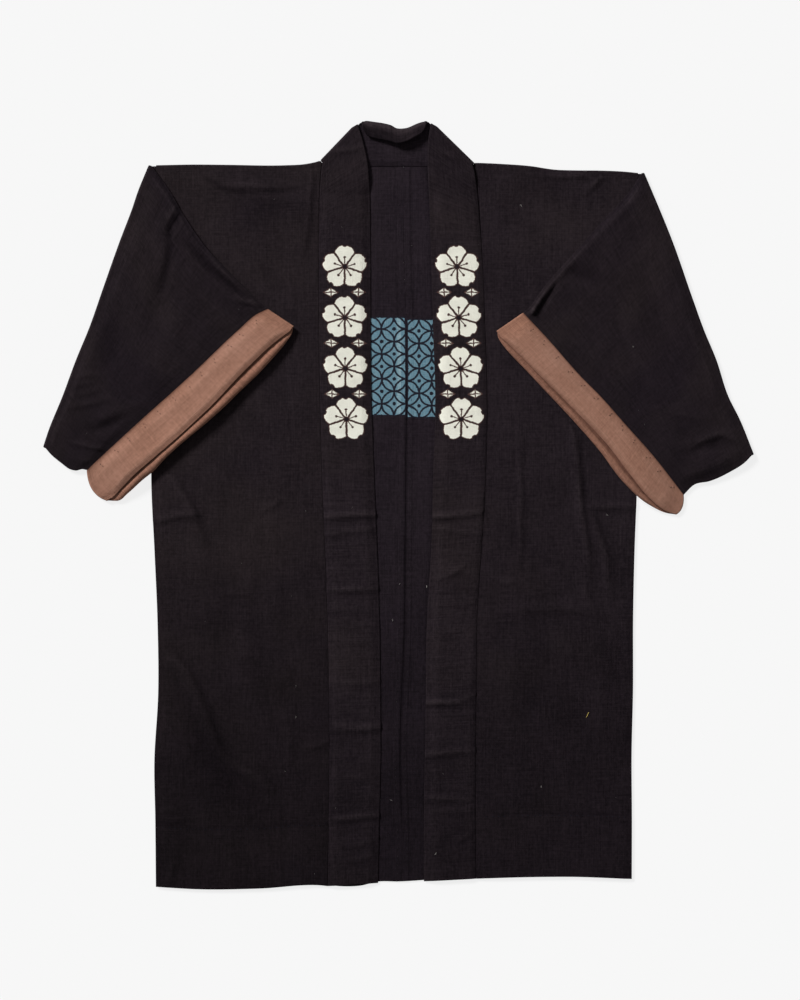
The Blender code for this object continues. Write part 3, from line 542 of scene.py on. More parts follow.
def fold(distance, h, turn, radius, angle):
    """Where a point goes when its strip is rolled up through an angle: how far out, and how high."""
    swing = np.minimum(np.maximum(distance / radius, 0.0), angle)
    rest = distance - swing * radius
    out, up = arc(turn, h, swing)
    return out + rest * np.cos(swing), up + rest * np.sin(swing)


def shares(length, step):
    """Places from 0 to 1 along a length, a step apart, with one close to each end."""
    count = max(2, round(length / step))
    close = EDGE_STEP / length
    return np.concatenate(([0.0, close], np.linspace(0, 1, count + 1)[1:-1], [1 - close, 1.0]))


# --- shells ---------------------------------------------------------------------------------------


def placed(name, data):
    """A new object of the scene."""
    thing = bpy.data.objects.new(name, data)
    bpy.context.scene.collection.objects.link(thing)
    return thing


def shell(name, outer, inner, cloth_uv, print_uv, wear_and_shade, keep=None, ring=False):
    """A closed body between two grids of places in millimetres, with rounded edges.

    cloth_uv and print_uv are millimetres on the cloth and on its printed pattern; on a ring they have one
    column more than the grids, so that they can run on past the join. wear is a number for each place:
    above 0 where the cloth is rubbed pale and where crests get a painted highlight, and below 0 where
    painted shade darkens it, and at the dark marks of the hem's tacks. keep says where there is cloth.
    """
    rows, columns = outer.shape[:2]
    last = columns if ring else columns - 1
    i, j = np.meshgrid(np.arange(rows - 1), np.arange(last), indexing="ij")
    kept = np.ones((rows - 1, last), bool) if keep is None else keep[: rows - 1, :last]
    middle = (outer + inner) / 2
    layer = rows * columns

    def number(face, a, b):
        return face * layer + a * columns + b % columns

    faces = []
    corners = []  # the grid place of each face's corners, for their UVs

    def add(grid_a, grid_b, layers, chosen):
        a = np.stack([g[chosen] for g in grid_a], axis=1)
        b = np.stack([g[chosen] for g in grid_b], axis=1)
        faces.append(np.stack([number(layers[k], a[:, k], b[:, k]) for k in range(4)], axis=1))
        corners.append(np.stack([a, b], axis=2))

    add((i, i + 1, i + 1, i), (j, j, j + 1, j + 1), (0, 0, 0, 0), kept)
    add((i, i, i + 1, i + 1), (j, j + 1, j + 1, j), (2, 2, 2, 2), kept)
    outward = np.zeros((rows, columns, 3))
    padded = np.zeros((rows + 1, last + 2), bool)
    padded[1:-1, 1:-1] = kept
    if ring:
        padded[1:-1, 0] = kept[:, -1]
        padded[1:-1, -1] = kept[:, 0]
    sides = (
        ((0, -1), (i, j), (i + 1, j), (i, j + 1), (i + 1, j + 1)),
        ((1, 0), (i + 1, j), (i + 1, j + 1), (i, j), (i, j + 1)),
        ((0, 1), (i + 1, j + 1), (i, j + 1), (i + 1, j), (i, j)),
        ((-1, 0), (i, j + 1), (i, j), (i + 1, j + 1), (i + 1, j)),
    )
    for (di, dj), start, end, behind_start, behind_end in sides:
        open_side = kept & ~padded[1 + di : rows + di, 1 + dj : last + 1 + dj]
        if not open_side.any():
            continue
        for at, behind in ((start, behind_start), (end, behind_end)):
            a, b = at[0][open_side], at[1][open_side] % columns
            away = middle[a, b] - middle[behind[0][open_side], behind[1][open_side] % columns]
            np.add.at(outward, (a, b), unit(away))
        rim_i, rim_j = ((end[k], start[k], start[k], end[k]) for k in (0, 1))
        for upper, lower in ((0, 1), (1, 2)):
            add(rim_i, rim_j, (upper, upper, lower, lower), open_side)
    rim = middle + unit(outward) * EDGE_BULGE
    points = np.concatenate([outer.reshape(-1, 3), rim.reshape(-1, 3), inner.reshape(-1, 3)]) * MM
    faces = np.concatenate(faces)
    corners = np.concatenate(corners).reshape(-1, 2)
    used, numbers = np.unique(faces, return_inverse=True)
    faces = numbers.reshape(faces.shape)
    points = points[used]
    if signed_volume(points, faces) < 0:
        faces = faces[:, ::-1]
        corners = corners.reshape(-1, 4, 2)[:, ::-1].reshape(-1, 2)
    mesh = bpy.data.meshes.new(name)
    mesh.from_pydata(points.tolist(), [], faces.tolist())
    for layer_name, uv in (("cloth", cloth_uv), ("print", print_uv)):
        places = uv[corners[:, 0], corners[:, 1]] * MM
        mesh.uv_layers.new(name=layer_name).uv.foreach_set("vector", places.astype(np.float32).ravel())
    add_number(mesh, "inside", used // layer / 2)
    add_number(mesh, "wear_and_shade", np.tile(wear_and_shade.ravel(), 3)[used])
    mesh.update()
    mesh.shade_smooth()
    return placed(name, mesh)


def add_number(mesh, name, values):
    attribute = mesh.attributes.new(name, "FLOAT", "POINT")
    attribute.data.foreach_set("value", np.asarray(values, np.float32))


def signed_volume(points, faces):
    a, b, c, d = (points[faces[:, k]] for k in range(4))
    return float(np.einsum("ij,ij->", a, np.cross(b, c)) + np.einsum("ij,ij->", a, np.cross(c, d)))


def plan(*coordinates):
    """Places from their coordinates: two in plan, or all three."""
    return np.stack(np.broadcast_arrays(*coordinates), axis=-1).astype(float)


def raised(place, z):
    """Places in plan, raised to heights."""
    return plan(place[..., 0], place[..., 1], z)


def round_run(b, sine, depth):
    """How far along the cloth each place round a flattened tube is."""
    return np.cumsum([0, *np.abs(np.diff(b)) * depth + np.abs(np.diff(sine)) * STACK])


# --- body -----------------------------------------------------------------------------------------


def centre_x(y):
    return line_x(CENTRE_SEAM, y)


def panel_x(stations, side, across, y):
    """Across a body half: 0 is its side edge, 1 the collar seam and 2 the centre back seam."""
    edge = station(stations, "side", y)
    seam = station(stations, "seam", y) + side * SEAM
    centre = centre_x(y) + side * SEAM / 2
    return np.where(across <= 1, mix(edge, seam, across), mix(seam, centre, across - 1))


def front_relief(stations, side, sleeve, x, y):
    """What lies on the pressed front: creases, unevenness, the hem's turn-up and the dip along the seam."""
    from_seam = np.abs(x - station(stations, "seam", y))
    from_side = np.abs(x - station(stations, "side", y))
    loose = ease(from_seam / SEAM_HOLD) * ease(from_side / SIDE_HOLD)
    uneven = undulation(FRONT_SEED + side, x, y, 1.0)
    height = crease_height(FRONT_CREASES, x, y) + (FRONT_LOOSE + uneven) * loose
    height = np.where(height < 0, height / (1 - height / DIP_LIMIT), height)
    turn_up = HEM_RISE * ease((hem_line(side, x) - y) / 1.6)
    height += turn_up - SEAM_DIP * bell(from_seam, SEAM_DIP_WIDTH)
    lift = np.maximum(crease_height(SLEEVE_CREASES, x, y), 0) * ease((from_side - 6) / 20)
    ceiling = 2 * SLEEVE_TURN - 2 * STACK - CUFF_PROUD - CLEAR + lift
    covered = ease((10 - outside_sleeve(sleeve, stations, x, y)) / 6)
    return mix(height, np.minimum(height, ceiling), covered)


def outside_sleeve(sleeve, stations, x, y):
    """How far each place is outside the part of a sleeve that lies over the front; below 0 beneath it."""
    _, _, _, over, cuff = sleeve_forms(sleeve, stations)
    t = np.linspace(0, 1, 12)
    low, high = np.zeros(12), np.ones(12)
    border = np.concatenate([over(t, low, low), cuff(high, t, high), over(t[::-1], high, low)])
    start, end = border, np.roll(border, -1, axis=0)
    run = end - start
    x, y = x[..., None], y[..., None]
    share = (x - start[:, 0]) * run[:, 0] + (y - start[:, 1]) * run[:, 1]
    share = np.clip(share / np.maximum((run**2).sum(axis=1), 1e-9), 0, 1)
    away = np.hypot(x - start[:, 0] - share * run[:, 0], y - start[:, 1] - share * run[:, 1]).min(axis=-1)
    level = (start[:, 1] > y) != (end[:, 1] > y)
    rise = np.where(run[:, 1] == 0, 1, run[:, 1])
    crossed = level & (x < start[:, 0] + run[:, 0] * (y - start[:, 1]) / rise)
    return np.where(crossed.sum(axis=-1) % 2, -away, away)


def hem_line(side, x):
    """Where the hem's turn-up ends."""
    return line_y(HEM, x) + HEM_TURN_UP[side]


def seam_strength(y):
    """How much the centre back seam shows: not above the block or at the hem."""
    start, full, ending, end = CENTRE_SHOWS
    return ease((start - y) / (start - full)) * ease((y - end) / (ending - end))


def back_inside_relief(stations, side, x, y):
    """What shows between the collar's bands: the seam's allowance, the dip along it, and small creases."""
    from_seam = np.abs(x - centre_x(y))
    rise = ALLOWANCE_RISE * ease((ALLOWANCE + 0.5 - from_seam) / 1.0) * ease((TOP_Y - y) / 6)
    open_strip = ease(((station(stations, "free", y) - x) * side - 1) / 7)
    bumps = INSIDE_LOOSE + undulation(BACK_SEED + side, x, y, INSIDE_LOOSE)
    bumps += crease_height(BACK_INSIDE_CREASES, x, y)
    ladder = LADDER * lumps(LADDER_SEED, x, y, 16, 5)
    bumps += ladder * ease((ALLOWANCE - from_seam) / 2) * ease((y - LADDER_LOW) / 60)
    dip = CENTRE_DIP * bell(from_seam, CENTRE_DIP_WIDTH) * ease(rise) * seam_strength(y)
    return np.minimum(rise, 0.05 + open_strip) - dip + np.clip(bumps, 0, 1.2) * open_strip


def body_panel(name, stations, side, sleeve):
    """One half of the body: its front, the shoulder fold, and its back with the folded allowance inside."""
    front_length = TOP_Y - HEM_Y
    down_front = shares(front_length, STEP)[::-1]
    down_back = shares(front_length, HIDDEN_STEP)
    turn = np.radians(np.arange(180 - FOLD_STEP, 0, -FOLD_STEP))
    width = abs(stations[0].side - stations[0].seam)
    inner_width = abs(stations[0].seam)
    front_columns = shares(width, STEP)
    pressed = 1 - (ALLOWANCE + np.array(ALLOWANCE_COLUMNS)) / inner_width
    inner_columns = shares(inner_width, STEP)[1:]
    far = inner_columns[(inner_columns < pressed[0] - 0.01) | (inner_columns > pressed[-1] + 0.01)]
    across = np.concatenate([front_columns, 1 + np.sort(np.concatenate([far, pressed]))])
    blocks = []
    for kind, values in (("front", down_front), ("turn", turn), ("back", down_back)):
        value, a = np.meshgrid(values, across, indexing="ij")
        down = np.zeros_like(value) if kind == "turn" else value
        x = panel_x(stations, side, a, mix(TOP_Y, HEM_Y, down))
        shoulder_y = line_y(SHOULDER, x)
        hem_y = line_y(HEM, x)
        if kind == "front":
            y = mix(shoulder_y, hem_y, down)
            top = STACK + front_relief(stations, side, sleeve, x, y)
            outer, inner = plan(x, y, top), plan(x, y, top - CLOTH)
            from_seam = np.abs(x - station(stations, "seam", y))
            # Painted highlight and shade of the relief, painted shade at the seam, turn-up and folds, and
            # tack marks
            worn = relief_wear_and_shade(top) - SEAM_SHADE * bell(from_seam, 1.6)
            worn = worn - HEM_SHADE * bell(y - hem_line(side, x), 2.2)
            worn = worn + crease_height(FRONT_PAINTED_SHADE_AND_TACK_MARKS, x, y)
            cloth, printed = plan(x, y), plan(x, y + OFF_PRINT)
        elif kind == "turn":
            outer, inner = (
                plan(x, shoulder_y + r * np.sin(value), SHOULDER_TURN - r * np.cos(value))
                for r in (SHOULDER_TURN, SHOULDER_TURN - CLOTH)
            )
            worn = np.full_like(x, SHOULDER_WORN)
            cloth = plan(x, shoulder_y + (math.pi - value) * SHOULDER_TURN)
            printed = plan(x, shoulder_y + OFF_PRINT)
        else:
            y = mix(shoulder_y, hem_y + BACK_HEM_SHORT, down)
            outer, inner = plan(x, y, 0.0), plan(x, y, CLOTH + back_inside_relief(stations, side, x, y))
            from_centre = np.abs(x - centre_x(y))
            # Painted shade along the centre back seam and the allowance's edges, and painted shadow beside
            # the left band
            worn = -CENTRE_SHADE * bell(from_centre, 1.3) * seam_strength(y)
            worn = worn - BAND_SHADE[side] * bell(x - station(stations, "free", y), 1.4)
            allowance_edge_shade = mix(0.1, 0.22 + 0.06 * side, ease((y - LADDER_LOW) / 180))
            worn = worn - allowance_edge_shade * bell(from_centre - ALLOWANCE - 1, 1.5)
            cloth, printed = plan(x, 2 * TOP_Y - y), plan(x - centre_x(y), y)
        blocks.append((outer, inner, cloth, printed, worn))
    outer, inner, cloth, printed, worn = (np.concatenate(parts) for parts in zip(*blocks))
    keep = np.ones((len(outer), len(across)), bool)
    keep[: len(down_front) + len(turn), len(front_columns) - 1 :] = False
    return shell(name, outer, inner, cloth, printed, worn, keep=keep)


# --- sleeves and cuffs ----------------------------------------------------------------------------


def sleeve_forms(sleeve, stations):
    """Functions for a sleeve: its flat part, its turned part and its cuff, as plan places."""
    ends = np.array([sleeve.outline[0], sleeve.outline[-1]])
    run = (ends[1] - ends[0]) / np.linalg.norm(ends[1] - ends[0])
    outward = np.array([sleeve.side * -run[1], sleeve.side * run[0]])
    turn_line = along([Point(*(np.array(p) - outward * SLEEVE_TURN)) for p in sleeve.outline])
    start, end = turn_line(0.0), turn_line(1.0)
    shoulder = along([start, *sleeve.shoulder])
    bottom = along([end, *sleeve.bottom])
    cuff_line = along(sleeve.cuff_line)
    near = along(sleeve.near)
    mouth = near(1.0) - near(0.0)
    down_sleeve = np.array([-mouth[1], mouth[0]]) * -sleeve.side / np.linalg.norm(mouth)

    def armhole(b):
        y = mix(start[1], sleeve.under_y, b)
        return plan(station(stations, "side", y) + sleeve.side * SEAM, y)

    def lap(b):
        """From the near lip to the one beneath it."""
        return down_sleeve * lap_reach(sleeve, b)[..., None]

    def over(t, b, layer):
        """The part that lies over the front: t from the fold to the cuff, b from the shoulder edge down."""
        t1, b1 = t[..., None], b[..., None]
        corners = mix(mix(start, end, b1), mix(cuff_line(0.0), cuff_line(1.0), b1), t1)
        place = mix(turn_line(b), cuff_line(b), t1) + mix(shoulder(t), bottom(t), b1) - corners
        return place + (layer * t * t)[..., None] * lap(b)

    def cuff(t, b, layer):
        edge = cuff_line(b) + down_sleeve * CUFF_SEAM
        swell = sleeve.swell * 4 * t * (1 - t) * ease((b - SWELL_START) / (1 - SWELL_START))
        bulge = mouth / np.linalg.norm(mouth) * swell[..., None]
        return mix(edge, near(b), t[..., None]) + layer[..., None] * lap(b) + bulge

    return armhole, turn_line, outward, over, cuff


def lap_reach(sleeve, b):
    """How far the lip beneath stands out past the near one."""
    return smooth([row.b for row in sleeve.lap], [row.reach for row in sleeve.lap], b)


def ring_points(near_across, far_across):
    """The points round a flattened tube: b, layer, and the sine and cosine of the angle round its edges.

    They run down the far layer, round the bottom edge, up the near layer and round the shoulder edge.
    """
    points = [(b, 1.0, None) for b in far_across]
    points += [(1.0, (1 + math.sin(angle)) / 2, angle) for angle in OPEN_ANGLES[::-1]]
    points += [(b, 0.0, None) for b in near_across[::-1]]
    points += [(0.0, (1 + math.sin(angle)) / 2, angle) for angle in OPEN_ANGLES]
    b, layer = (np.array([p[k] for p in points]) for k in (0, 1))
    sine = np.array([2 * p[1] - 1 for p in points])
    cosine = np.array([0.0 if p[2] is None else math.cos(p[2]) for p in points])
    return b, layer, sine, cosine


def past_edge(place, b, run):
    """A plan place, moved on by run past the edge that b is on."""
    spot = place(b)
    return spot + unit(spot - place(np.where(b < 0.5, 0.02, 0.98))) * run[..., None]


def droop(sleeve, stations, x, y):
    """0 over the coat, 1 where a turned sleeve has come down to the surface beside it."""
    below = (sleeve.under_y - y) / SLEEVE_DROOP
    beyond = (x - station(stations, "side", y)) * sleeve.side / SLEEVE_DROOP
    return ease(below) * ease(beyond)


def turned_height(sleeve, stations, spot, h, t):
    """The height of a point of the turned part: h through the stack, t from the fold to the mouth."""
    x, y = spot[..., 0], spot[..., 1]
    lying = 2 * SLEEVE_TURN - h
    settle = 2 * SLEEVE_TURN - STACK - CUFF_PROUD
    lift = crease_height(SLEEVE_CREASES, x, y) * ease(t / START_FREE)
    return lying + lift - settle * droop(sleeve, stations, x, y)


def squeeze(t, b, h, depth):
    """How far a point near the shoulder edge of a turned sleeve is pressed down towards the front."""
    return (EDGE_SQUEEZE * (STACK - h) + EDGE_DROP) * ease(1 - b * depth / 6) * ease(t / START_FREE)


def loose_height(sleeve, spot, t, b):
    """What the upper layer of a turned sleeve rises by itself."""
    x, y = spot[..., 0], spot[..., 1]
    free = ease(t / START_FREE) * ease((1 - t) / 0.16) * ease(b / 0.022) * ease((1 - b) / 0.05)
    height = PUFF + undulation(SLEEVE_SEED + sleeve.side, x, y, 0.9) + crease_height(SLEEVE_TROUGHS, x, y)
    return np.maximum(height, 0) * free


def sleeve_tube(name, sleeve, stations):
    """A sleeve, in rows round its flattened tube from the armhole over the turn to the cuff."""
    armhole, turn_line, outward, over, _ = sleeve_forms(sleeve, stations)
    depth = np.linalg.norm(turn_line(1.0) - turn_line(0.0))
    length = np.linalg.norm(over(*(np.array(v) for v in (1.0, 0.5, 0.0))) - turn_line(0.5))
    b, layer, sine, cosine = ring_points(shares(depth, STEP), shares(depth, 3 * STEP))
    depth_at = round_run(b, sine, depth)
    blocks = []
    reached = 0.0
    for kind, values, span in (
        ("flat", shares(depth * FLAT_MEAN, HIDDEN_STEP), FLAT_SPAN),
        ("turn", np.radians(np.arange(SLEEVE_FOLD_STEP, 180, SLEEVE_FOLD_STEP)), SLEEVE_TURN * math.pi),
        ("over", shares(length, STEP), length),
    ):
        value, each = np.meshgrid(values, np.arange(len(b)), indexing="ij")
        faces = []
        for radius in (STACK / 2, SLACK / 2):
            run = radius * cosine[each]
            bb = b[each]
            h = (STACK / 2 + radius * sine)[each]
            if kind == "flat":
                spot = past_edge(lambda at: mix(armhole(at), turn_line(at), value[..., None]), bb, run)
                z = h
            elif kind == "turn":
                reach, z = arc(SLEEVE_TURN, h, value)
                spot = past_edge(turn_line, bb, run) + outward * reach[..., None]
            else:
                spot = past_edge(lambda at: over(value, at, layer[each]), bb, run)
                z = turned_height(sleeve, stations, spot, h, value)
                loose = (1 - layer[each]) * loose_height(sleeve, spot, value, bb)
                z = z + loose - squeeze(value, bb, h, depth)
            faces.append(raised(spot, z))
        share = value / math.pi if kind == "turn" else value
        cloth = plan(reached + share * span, depth_at[each])
        reached += span
        worn = np.full_like(value, SLEEVE_WORN)
        if kind == "over":
            x, y = faces[0][..., 0], faces[0][..., 1]
            # Painted highlight and shade of the relief, and more painted shade in the sleeve's troughs
            worn = relief_wear_and_shade(faces[0][..., 2]) + TROUGH_SHADE * crease_height(SLEEVE_TROUGHS, x, y)
            worn = worn * (1 - layer[each])
        blocks.append((*faces, cloth, worn))
    outer, inner, cloth, worn = (np.concatenate(parts) for parts in zip(*blocks))
    cloth = np.concatenate([cloth, cloth[:, -1:] + (0, STEP)], axis=1)
    return shell(name, outer, inner, cloth, cloth + OFF_PRINT, worn, ring=True)


def cuff_ring(name, sleeve, stations):
    """A cuff, in rows round the sleeve's mouth from its seam to its free edge."""
    cuff = sleeve_forms(sleeve, stations)[-1]
    length = np.linalg.norm(np.diff([tuple(p) for p in sleeve.near], axis=0), axis=1).sum()
    across = shares(length, STEP)
    b, layer, sine, cosine = ring_points(across, across)
    wall_inner = CLOTH + CUFF_PROUD / 4
    value, each = np.meshgrid(shares(CUFF_WIDTH, CUFF_STEP), np.arange(len(b)), indexing="ij")
    bb = b[each]
    from_corner = np.minimum(bb, 1 - bb) * length
    tucked = value * (1 - CORNER_TUCK * bell(from_corner, CORNER_WIDTH) * value)
    reach = lap_reach(sleeve, bb)
    from_mouth = (1 - value) * CUFF_WIDTH
    open_part = ease(from_corner / LIPS_CLOSED)
    near_rise = LIP_RISE * ease(value / LIP_START) - LIP_ROLL * ease(1 - from_mouth / LIP_ROLL_WIDTH)
    far_roll = np.clip((1 - value) * (CUFF_WIDTH + reach) / np.maximum(reach - 2.0, 2.0), 0, 1)
    far_rise = FAR_RISE * np.sin(math.pi * far_roll) ** 0.7 * ease((reach - 3) / 5)
    rise = np.where(layer[each] < 0.5, near_rise, far_rise) * open_part
    puckers = undulation(CUFF_SEED + sleeve.side, value * CUFF_WIDTH, bb * length, 0.55)
    puckers = puckers * open_part * ease(value / 0.2)
    faces = []
    for radius in (STACK / 2 + CUFF_PROUD, STACK / 2 - wall_inner):
        h = (STACK / 2 + radius * sine)[each]
        spot = past_edge(lambda at: cuff(tucked, at, layer[each]), bb, radius * cosine[each])
        z = turned_height(sleeve, stations, spot, h, np.ones_like(value))
        faces.append(raised(spot, z + (rise + puckers * (1 - layer[each])) * np.abs(sine[each])))
    cloth = plan(round_run(b, sine, length)[each], value * CUFF_WIDTH)
    cloth = np.concatenate([cloth, cloth[:, -1:] + (STEP, 0)], axis=1)
    # Painted shade along the cuff's seam and free edge and in the slit under the near lip,
    # and the relief's painted highlight and shade
    hidden = ease(((1 - value) * (CUFF_WIDTH + reach) - reach + 2.5) / 3) * layer[each]
    edges = CUFF_SEAM_SHADE * bell(value * CUFF_WIDTH, 1.3) + MOUTH_SHADE * bell(from_mouth, 1.5)
    slit_shade = (0.25 + 0.5 * bb) * hidden  # painted shade in the slit, darker towards the lower corner
    worn = relief_wear_and_shade(faces[0][..., 2]) * (1 - layer[each]) - edges - slit_shade
    return shell(name, *faces, cloth, cloth + OFF_PRINT, worn, ring=True)


# --- collar ---------------------------------------------------------------------------------------


def band_knots(stations, side, mitre, fan):
    """One front band of the collar, as rows from seam to free edge: the mitre, the fan, then level rows."""
    rows = [mitre, *fan]
    for down in np.linspace(FIRST_LEVEL, 1, LEVEL_ROWS):
        y = mix(TOP_Y, HEM_Y, down)
        seam, free = station(stations, "seam", y), station(stations, "free", y)
        edge = seam + side * SEAM
        seam_y = mix(line_y(SHOULDER, edge), line_y(HEM, edge), down)
        rows.append(Fan(seam, seam_y, free, mix(NECK_Y, line_y(HEM, free), down)))
    return np.array(rows, float)


def taper(columns, width):
    """How much thinner the strip is pressed towards its seam and its free edge."""
    along_seam = SEAM_TAPER * ease(1 - columns * width / SEAM_TAPER_WIDTH)
    return along_seam + FREE_TAPER * ease(1 - (1 - columns) * width / FREE_TAPER_WIDTH)


def rounded(from_edge):
    """How far each face of the collar has come in, towards its middle, at a distance from a folded edge."""
    radius = BAND / 2
    inside = np.clip(radius - from_edge, 0, radius - 0.02)
    return radius - np.sqrt(radius**2 - inside**2)


def collar_columns(width):
    """Shares of a collar's width, closer together at its edges."""
    close = np.array([0.0, 0.12, 0.45, 1.0, 1.7]) / width
    return np.concatenate([close, np.linspace(0, 1, round(width / 2.6) + 1)[1:-1], 1 - close[::-1]])


def band_places(rows, columns):
    """The outer and inner places of a front band, for rows of seam and free ends."""
    seam, free = rows[:, None, :2], rows[:, None, 2:]
    place = mix(seam, free, columns[None, :, None])
    x, y = place[..., 0], place[..., 1]
    width = np.linalg.norm(free - seam, axis=-1)
    inset = rounded(columns * width) + rounded((1 - columns) * width)
    drop = ease((y - COLLAR_DESCENT[0]) / (COLLAR_DESCENT[1] - COLLAR_DESCENT[0]))
    low = mix(COLLAR_LOW, 2 * MITRE_TURN - BAND, drop)
    height = BAND - taper(columns, width) * (1 - drop)
    inset = inset * height / BAND
    ripple = lumps(COLLAR_SEED, x, y, 34, 7.5) * 0.28 + lumps(COLLAR_SEED + 1, x, y, 15, 5) * 0.18 + 0.2
    lift = crease_height(COLLAR_CREASES, x, y) + np.maximum(ripple, 0) * ease(columns / 0.05) * (1 - drop)
    lift = np.maximum(lift, 0)
    return plan(x, y, low + height - inset + lift), plan(x, y, low + inset + lift)


def mitre_places(mitre, columns, angles):
    """The outer and inner places of a corner of the collar, which turns over from the back to a front."""
    seam, free = np.array(mitre[:2]), np.array(mitre[2:])
    width = np.linalg.norm(free - seam)
    run = (free - seam) / width
    side = math.copysign(1.0, mitre.seam_x)
    outward = np.array([run[1], -run[0]]) * side
    line = mix(seam, free, columns[:, None])
    inset = MITRE_ROUND * rounded(columns * width) + rounded((1 - columns) * width)
    pressed = 1 - TIP_PRESS * ease(1 - (1 - columns) * width / TIP_WIDTH)
    faces = []
    for h in (inset, BAND - inset):
        reach = (MITRE_TURN - h) * pressed * np.sin(angles)[:, None]
        up = MITRE_TURN - (MITRE_TURN - h) * np.cos(angles)[:, None]
        faces.append(raised(line[None] + outward * reach[..., None], up))
    return faces


def back_places(rolls, columns):
    """The collar behind the neck, flat as far as its crest and then rolled forward."""
    seam_x, crest_x, crest_y, angle, flap = (rolls[:, k][:, None] for k in range(5))
    seam = np.stack([seam_x, np.full_like(seam_x, NECK_Y + SEAM)], axis=-1)
    crest = np.stack([crest_x, crest_y], axis=-1)
    length = np.linalg.norm(crest - seam, axis=-1)
    run = (crest - seam) / length[..., None]
    flat = length - ROLL_TURN
    angle = np.radians(angle)
    radius = ROLL_TURN - BAND / 2
    rolled = np.maximum(angle * radius + flap, ROLL_TURN)
    total = flat + rolled
    share = np.clip((columns - ROLL_STARTS) / (1 - ROLL_STARTS), 0, 1)
    reached = np.where(columns < ROLL_STARTS, flat * columns / ROLL_STARTS, flat + rolled * share)
    height = BAND - SEAM_TAPER * ease(1 - reached / SEAM_TAPER_WIDTH)
    inset = (rounded(reached) + rounded(total - reached)) * height / BAND
    faces = []
    for h in (inset, height - inset):
        out, up = fold(np.maximum(reached - flat, 0), h, ROLL_TURN, radius, angle)
        level = columns < ROLL_STARTS
        distance = np.where(level, reached, flat + out)
        faces.append(raised(seam + run * distance[..., None], np.where(level, h, up)))
    return faces


def collar_strip(name):
    """The collar, in rows across it from one front's hem round the neck to the other's."""
    columns = collar_columns(BAND_WIDTH)
    angles = np.radians(np.arange(0, 181, FOLD_STEP))
    sides = []
    for _, side, stations, _, mitre, fan in SIDES:
        knots = band_knots(stations, side, mitre, fan)
        mean_y = knots[:, [1, 3]].mean(axis=1)
        last = len(knots) - 1
        at = np.interp(np.arange(mean_y[0], mean_y[-1], -STEP), mean_y[::-1], np.arange(last, -1, -1.0))
        at = np.concatenate([at[1:], [last - EDGE_STEP / 35, last]])
        rows = smooth(np.arange(len(knots)), knots, at)
        sides.append((band_places(rows, columns), mitre_places(mitre, columns, angles)))
    rolls = np.array(COLLAR_BACK, float)
    at = np.linspace(0, len(rolls) - 1, 4 * (len(rolls) - 1) + 1)
    behind = back_places(smooth(np.arange(len(rolls)), rolls, at), columns)
    (right, right_turn), (left, left_turn) = sides
    layers = []
    for face in (0, 1):
        start, end = right_turn[face][:1], left_turn[face][:1]
        first, last = behind[face][:1], behind[face][-1:]
        into, out = ([mix(a, b, t) for t in (0.25, 0.5, 0.75)] for a, b in ((start, first), (last, end)))
        parts = [right[face][::-1], right_turn[face][::-1], *into, behind[face], *out]
        layers.append(np.concatenate([*parts, left_turn[face], left[face]]))
    outer, inner = layers
    middle = outer[:, len(columns) // 2, :]
    reached = np.concatenate([[0], np.cumsum(np.linalg.norm(np.diff(middle, axis=0), axis=1))])
    across = columns * BAND_WIDTH
    cloth = plan(across, reached[:, None] - reached[-1] / 2)
    level = len(right[0])
    printed = plan((columns - 0.5) * BAND_WIDTH, outer[..., 1])
    printed[level : -len(left[0]), :, 1] += OFF_PRINT
    # Painted shade towards the free edge of the roll behind the neck
    painted_roll_shade = np.zeros_like(outer[..., 2])
    shaded = slice(level + len(angles), -len(left[0]) - len(angles))
    painted_roll_shade[shaded] = ROLL_SHADE * ease((columns - 0.76) / 0.22)
    # Painted shade along the collar's seam and its free edge, and the relief's painted highlight and shade
    edges = SEAM_SHADE * bell(across, 2.2) + 0.04 * bell(BAND_WIDTH - across, 1.2)
    worn = relief_wear_and_shade(outer[..., 2], COLLAR_GAIN) - edges - painted_roll_shade
    return shell(name, outer, inner, cloth, printed, worn)


# --- sums in materials ----------------------------------------------------------------------------


def works(operation):
    """A method of a Field for one operation."""
    return lambda field, *others: field.worked(operation, *others)


class Field:
    """A number that a material's nodes work out at each point, so that formulas read as sums."""

    def __init__(self, socket):
        self.socket = socket

    def worked(self, operation, *others):
        made = node(self.socket.id_data, "Math", enumerate((self, *others)), operation=operation)
        return Field(made.outputs[0])

    __add__ = __radd__ = works("ADD")
    __sub__ = works("SUBTRACT")
    __mul__ = __rmul__ = works("MULTIPLY")
    __truediv__ = works("DIVIDE")
    __abs__ = works("ABSOLUTE")
    sine = works("SINE")
    cosine = works("COSINE")
    root = works("SQRT")
    turn_from = works("ARCTAN2")
    least = works("MINIMUM")
    most = works("MAXIMUM")

    def __rsub__(self, other):
        return self * -1 + other

    def wrapped(self, period):
        """The value, brought between -period / 2 and period / 2."""
        return self.worked("WRAP", period / 2, -period / 2)

    def within(self, low, high):
        return self.least(high).most(low)

    def ramp(self, start, end):
        """A soft step: 0 before start and 1 past end, or the other way round where end is lower."""
        inputs = enumerate((self, start, end))
        made = node(self.socket.id_data, "MapRange", inputs, interpolation_type="SMOOTHSTEP")
        return Field(made.outputs[0])


def feed(slot, value):
    if isinstance(value, Field):
        slot.id_data.links.new(value.socket, slot)
    else:
        slot.default_value = value


def node(tree, kind, inputs=(), **settings):
    """A new node with its settings, and with values or Fields in the inputs that are named or numbered."""
    made = tree.nodes.new("ShaderNode" + kind)
    for setting, value in settings.items():
        setattr(made, setting, value)
    for slot, value in inputs:
        feed(made.inputs[slot], value)
    return made


def distance_to(u, v, at_u=0.0, at_v=0.0):
    du, dv = u - at_u, v - at_v
    return (du * du + dv * dv).root()


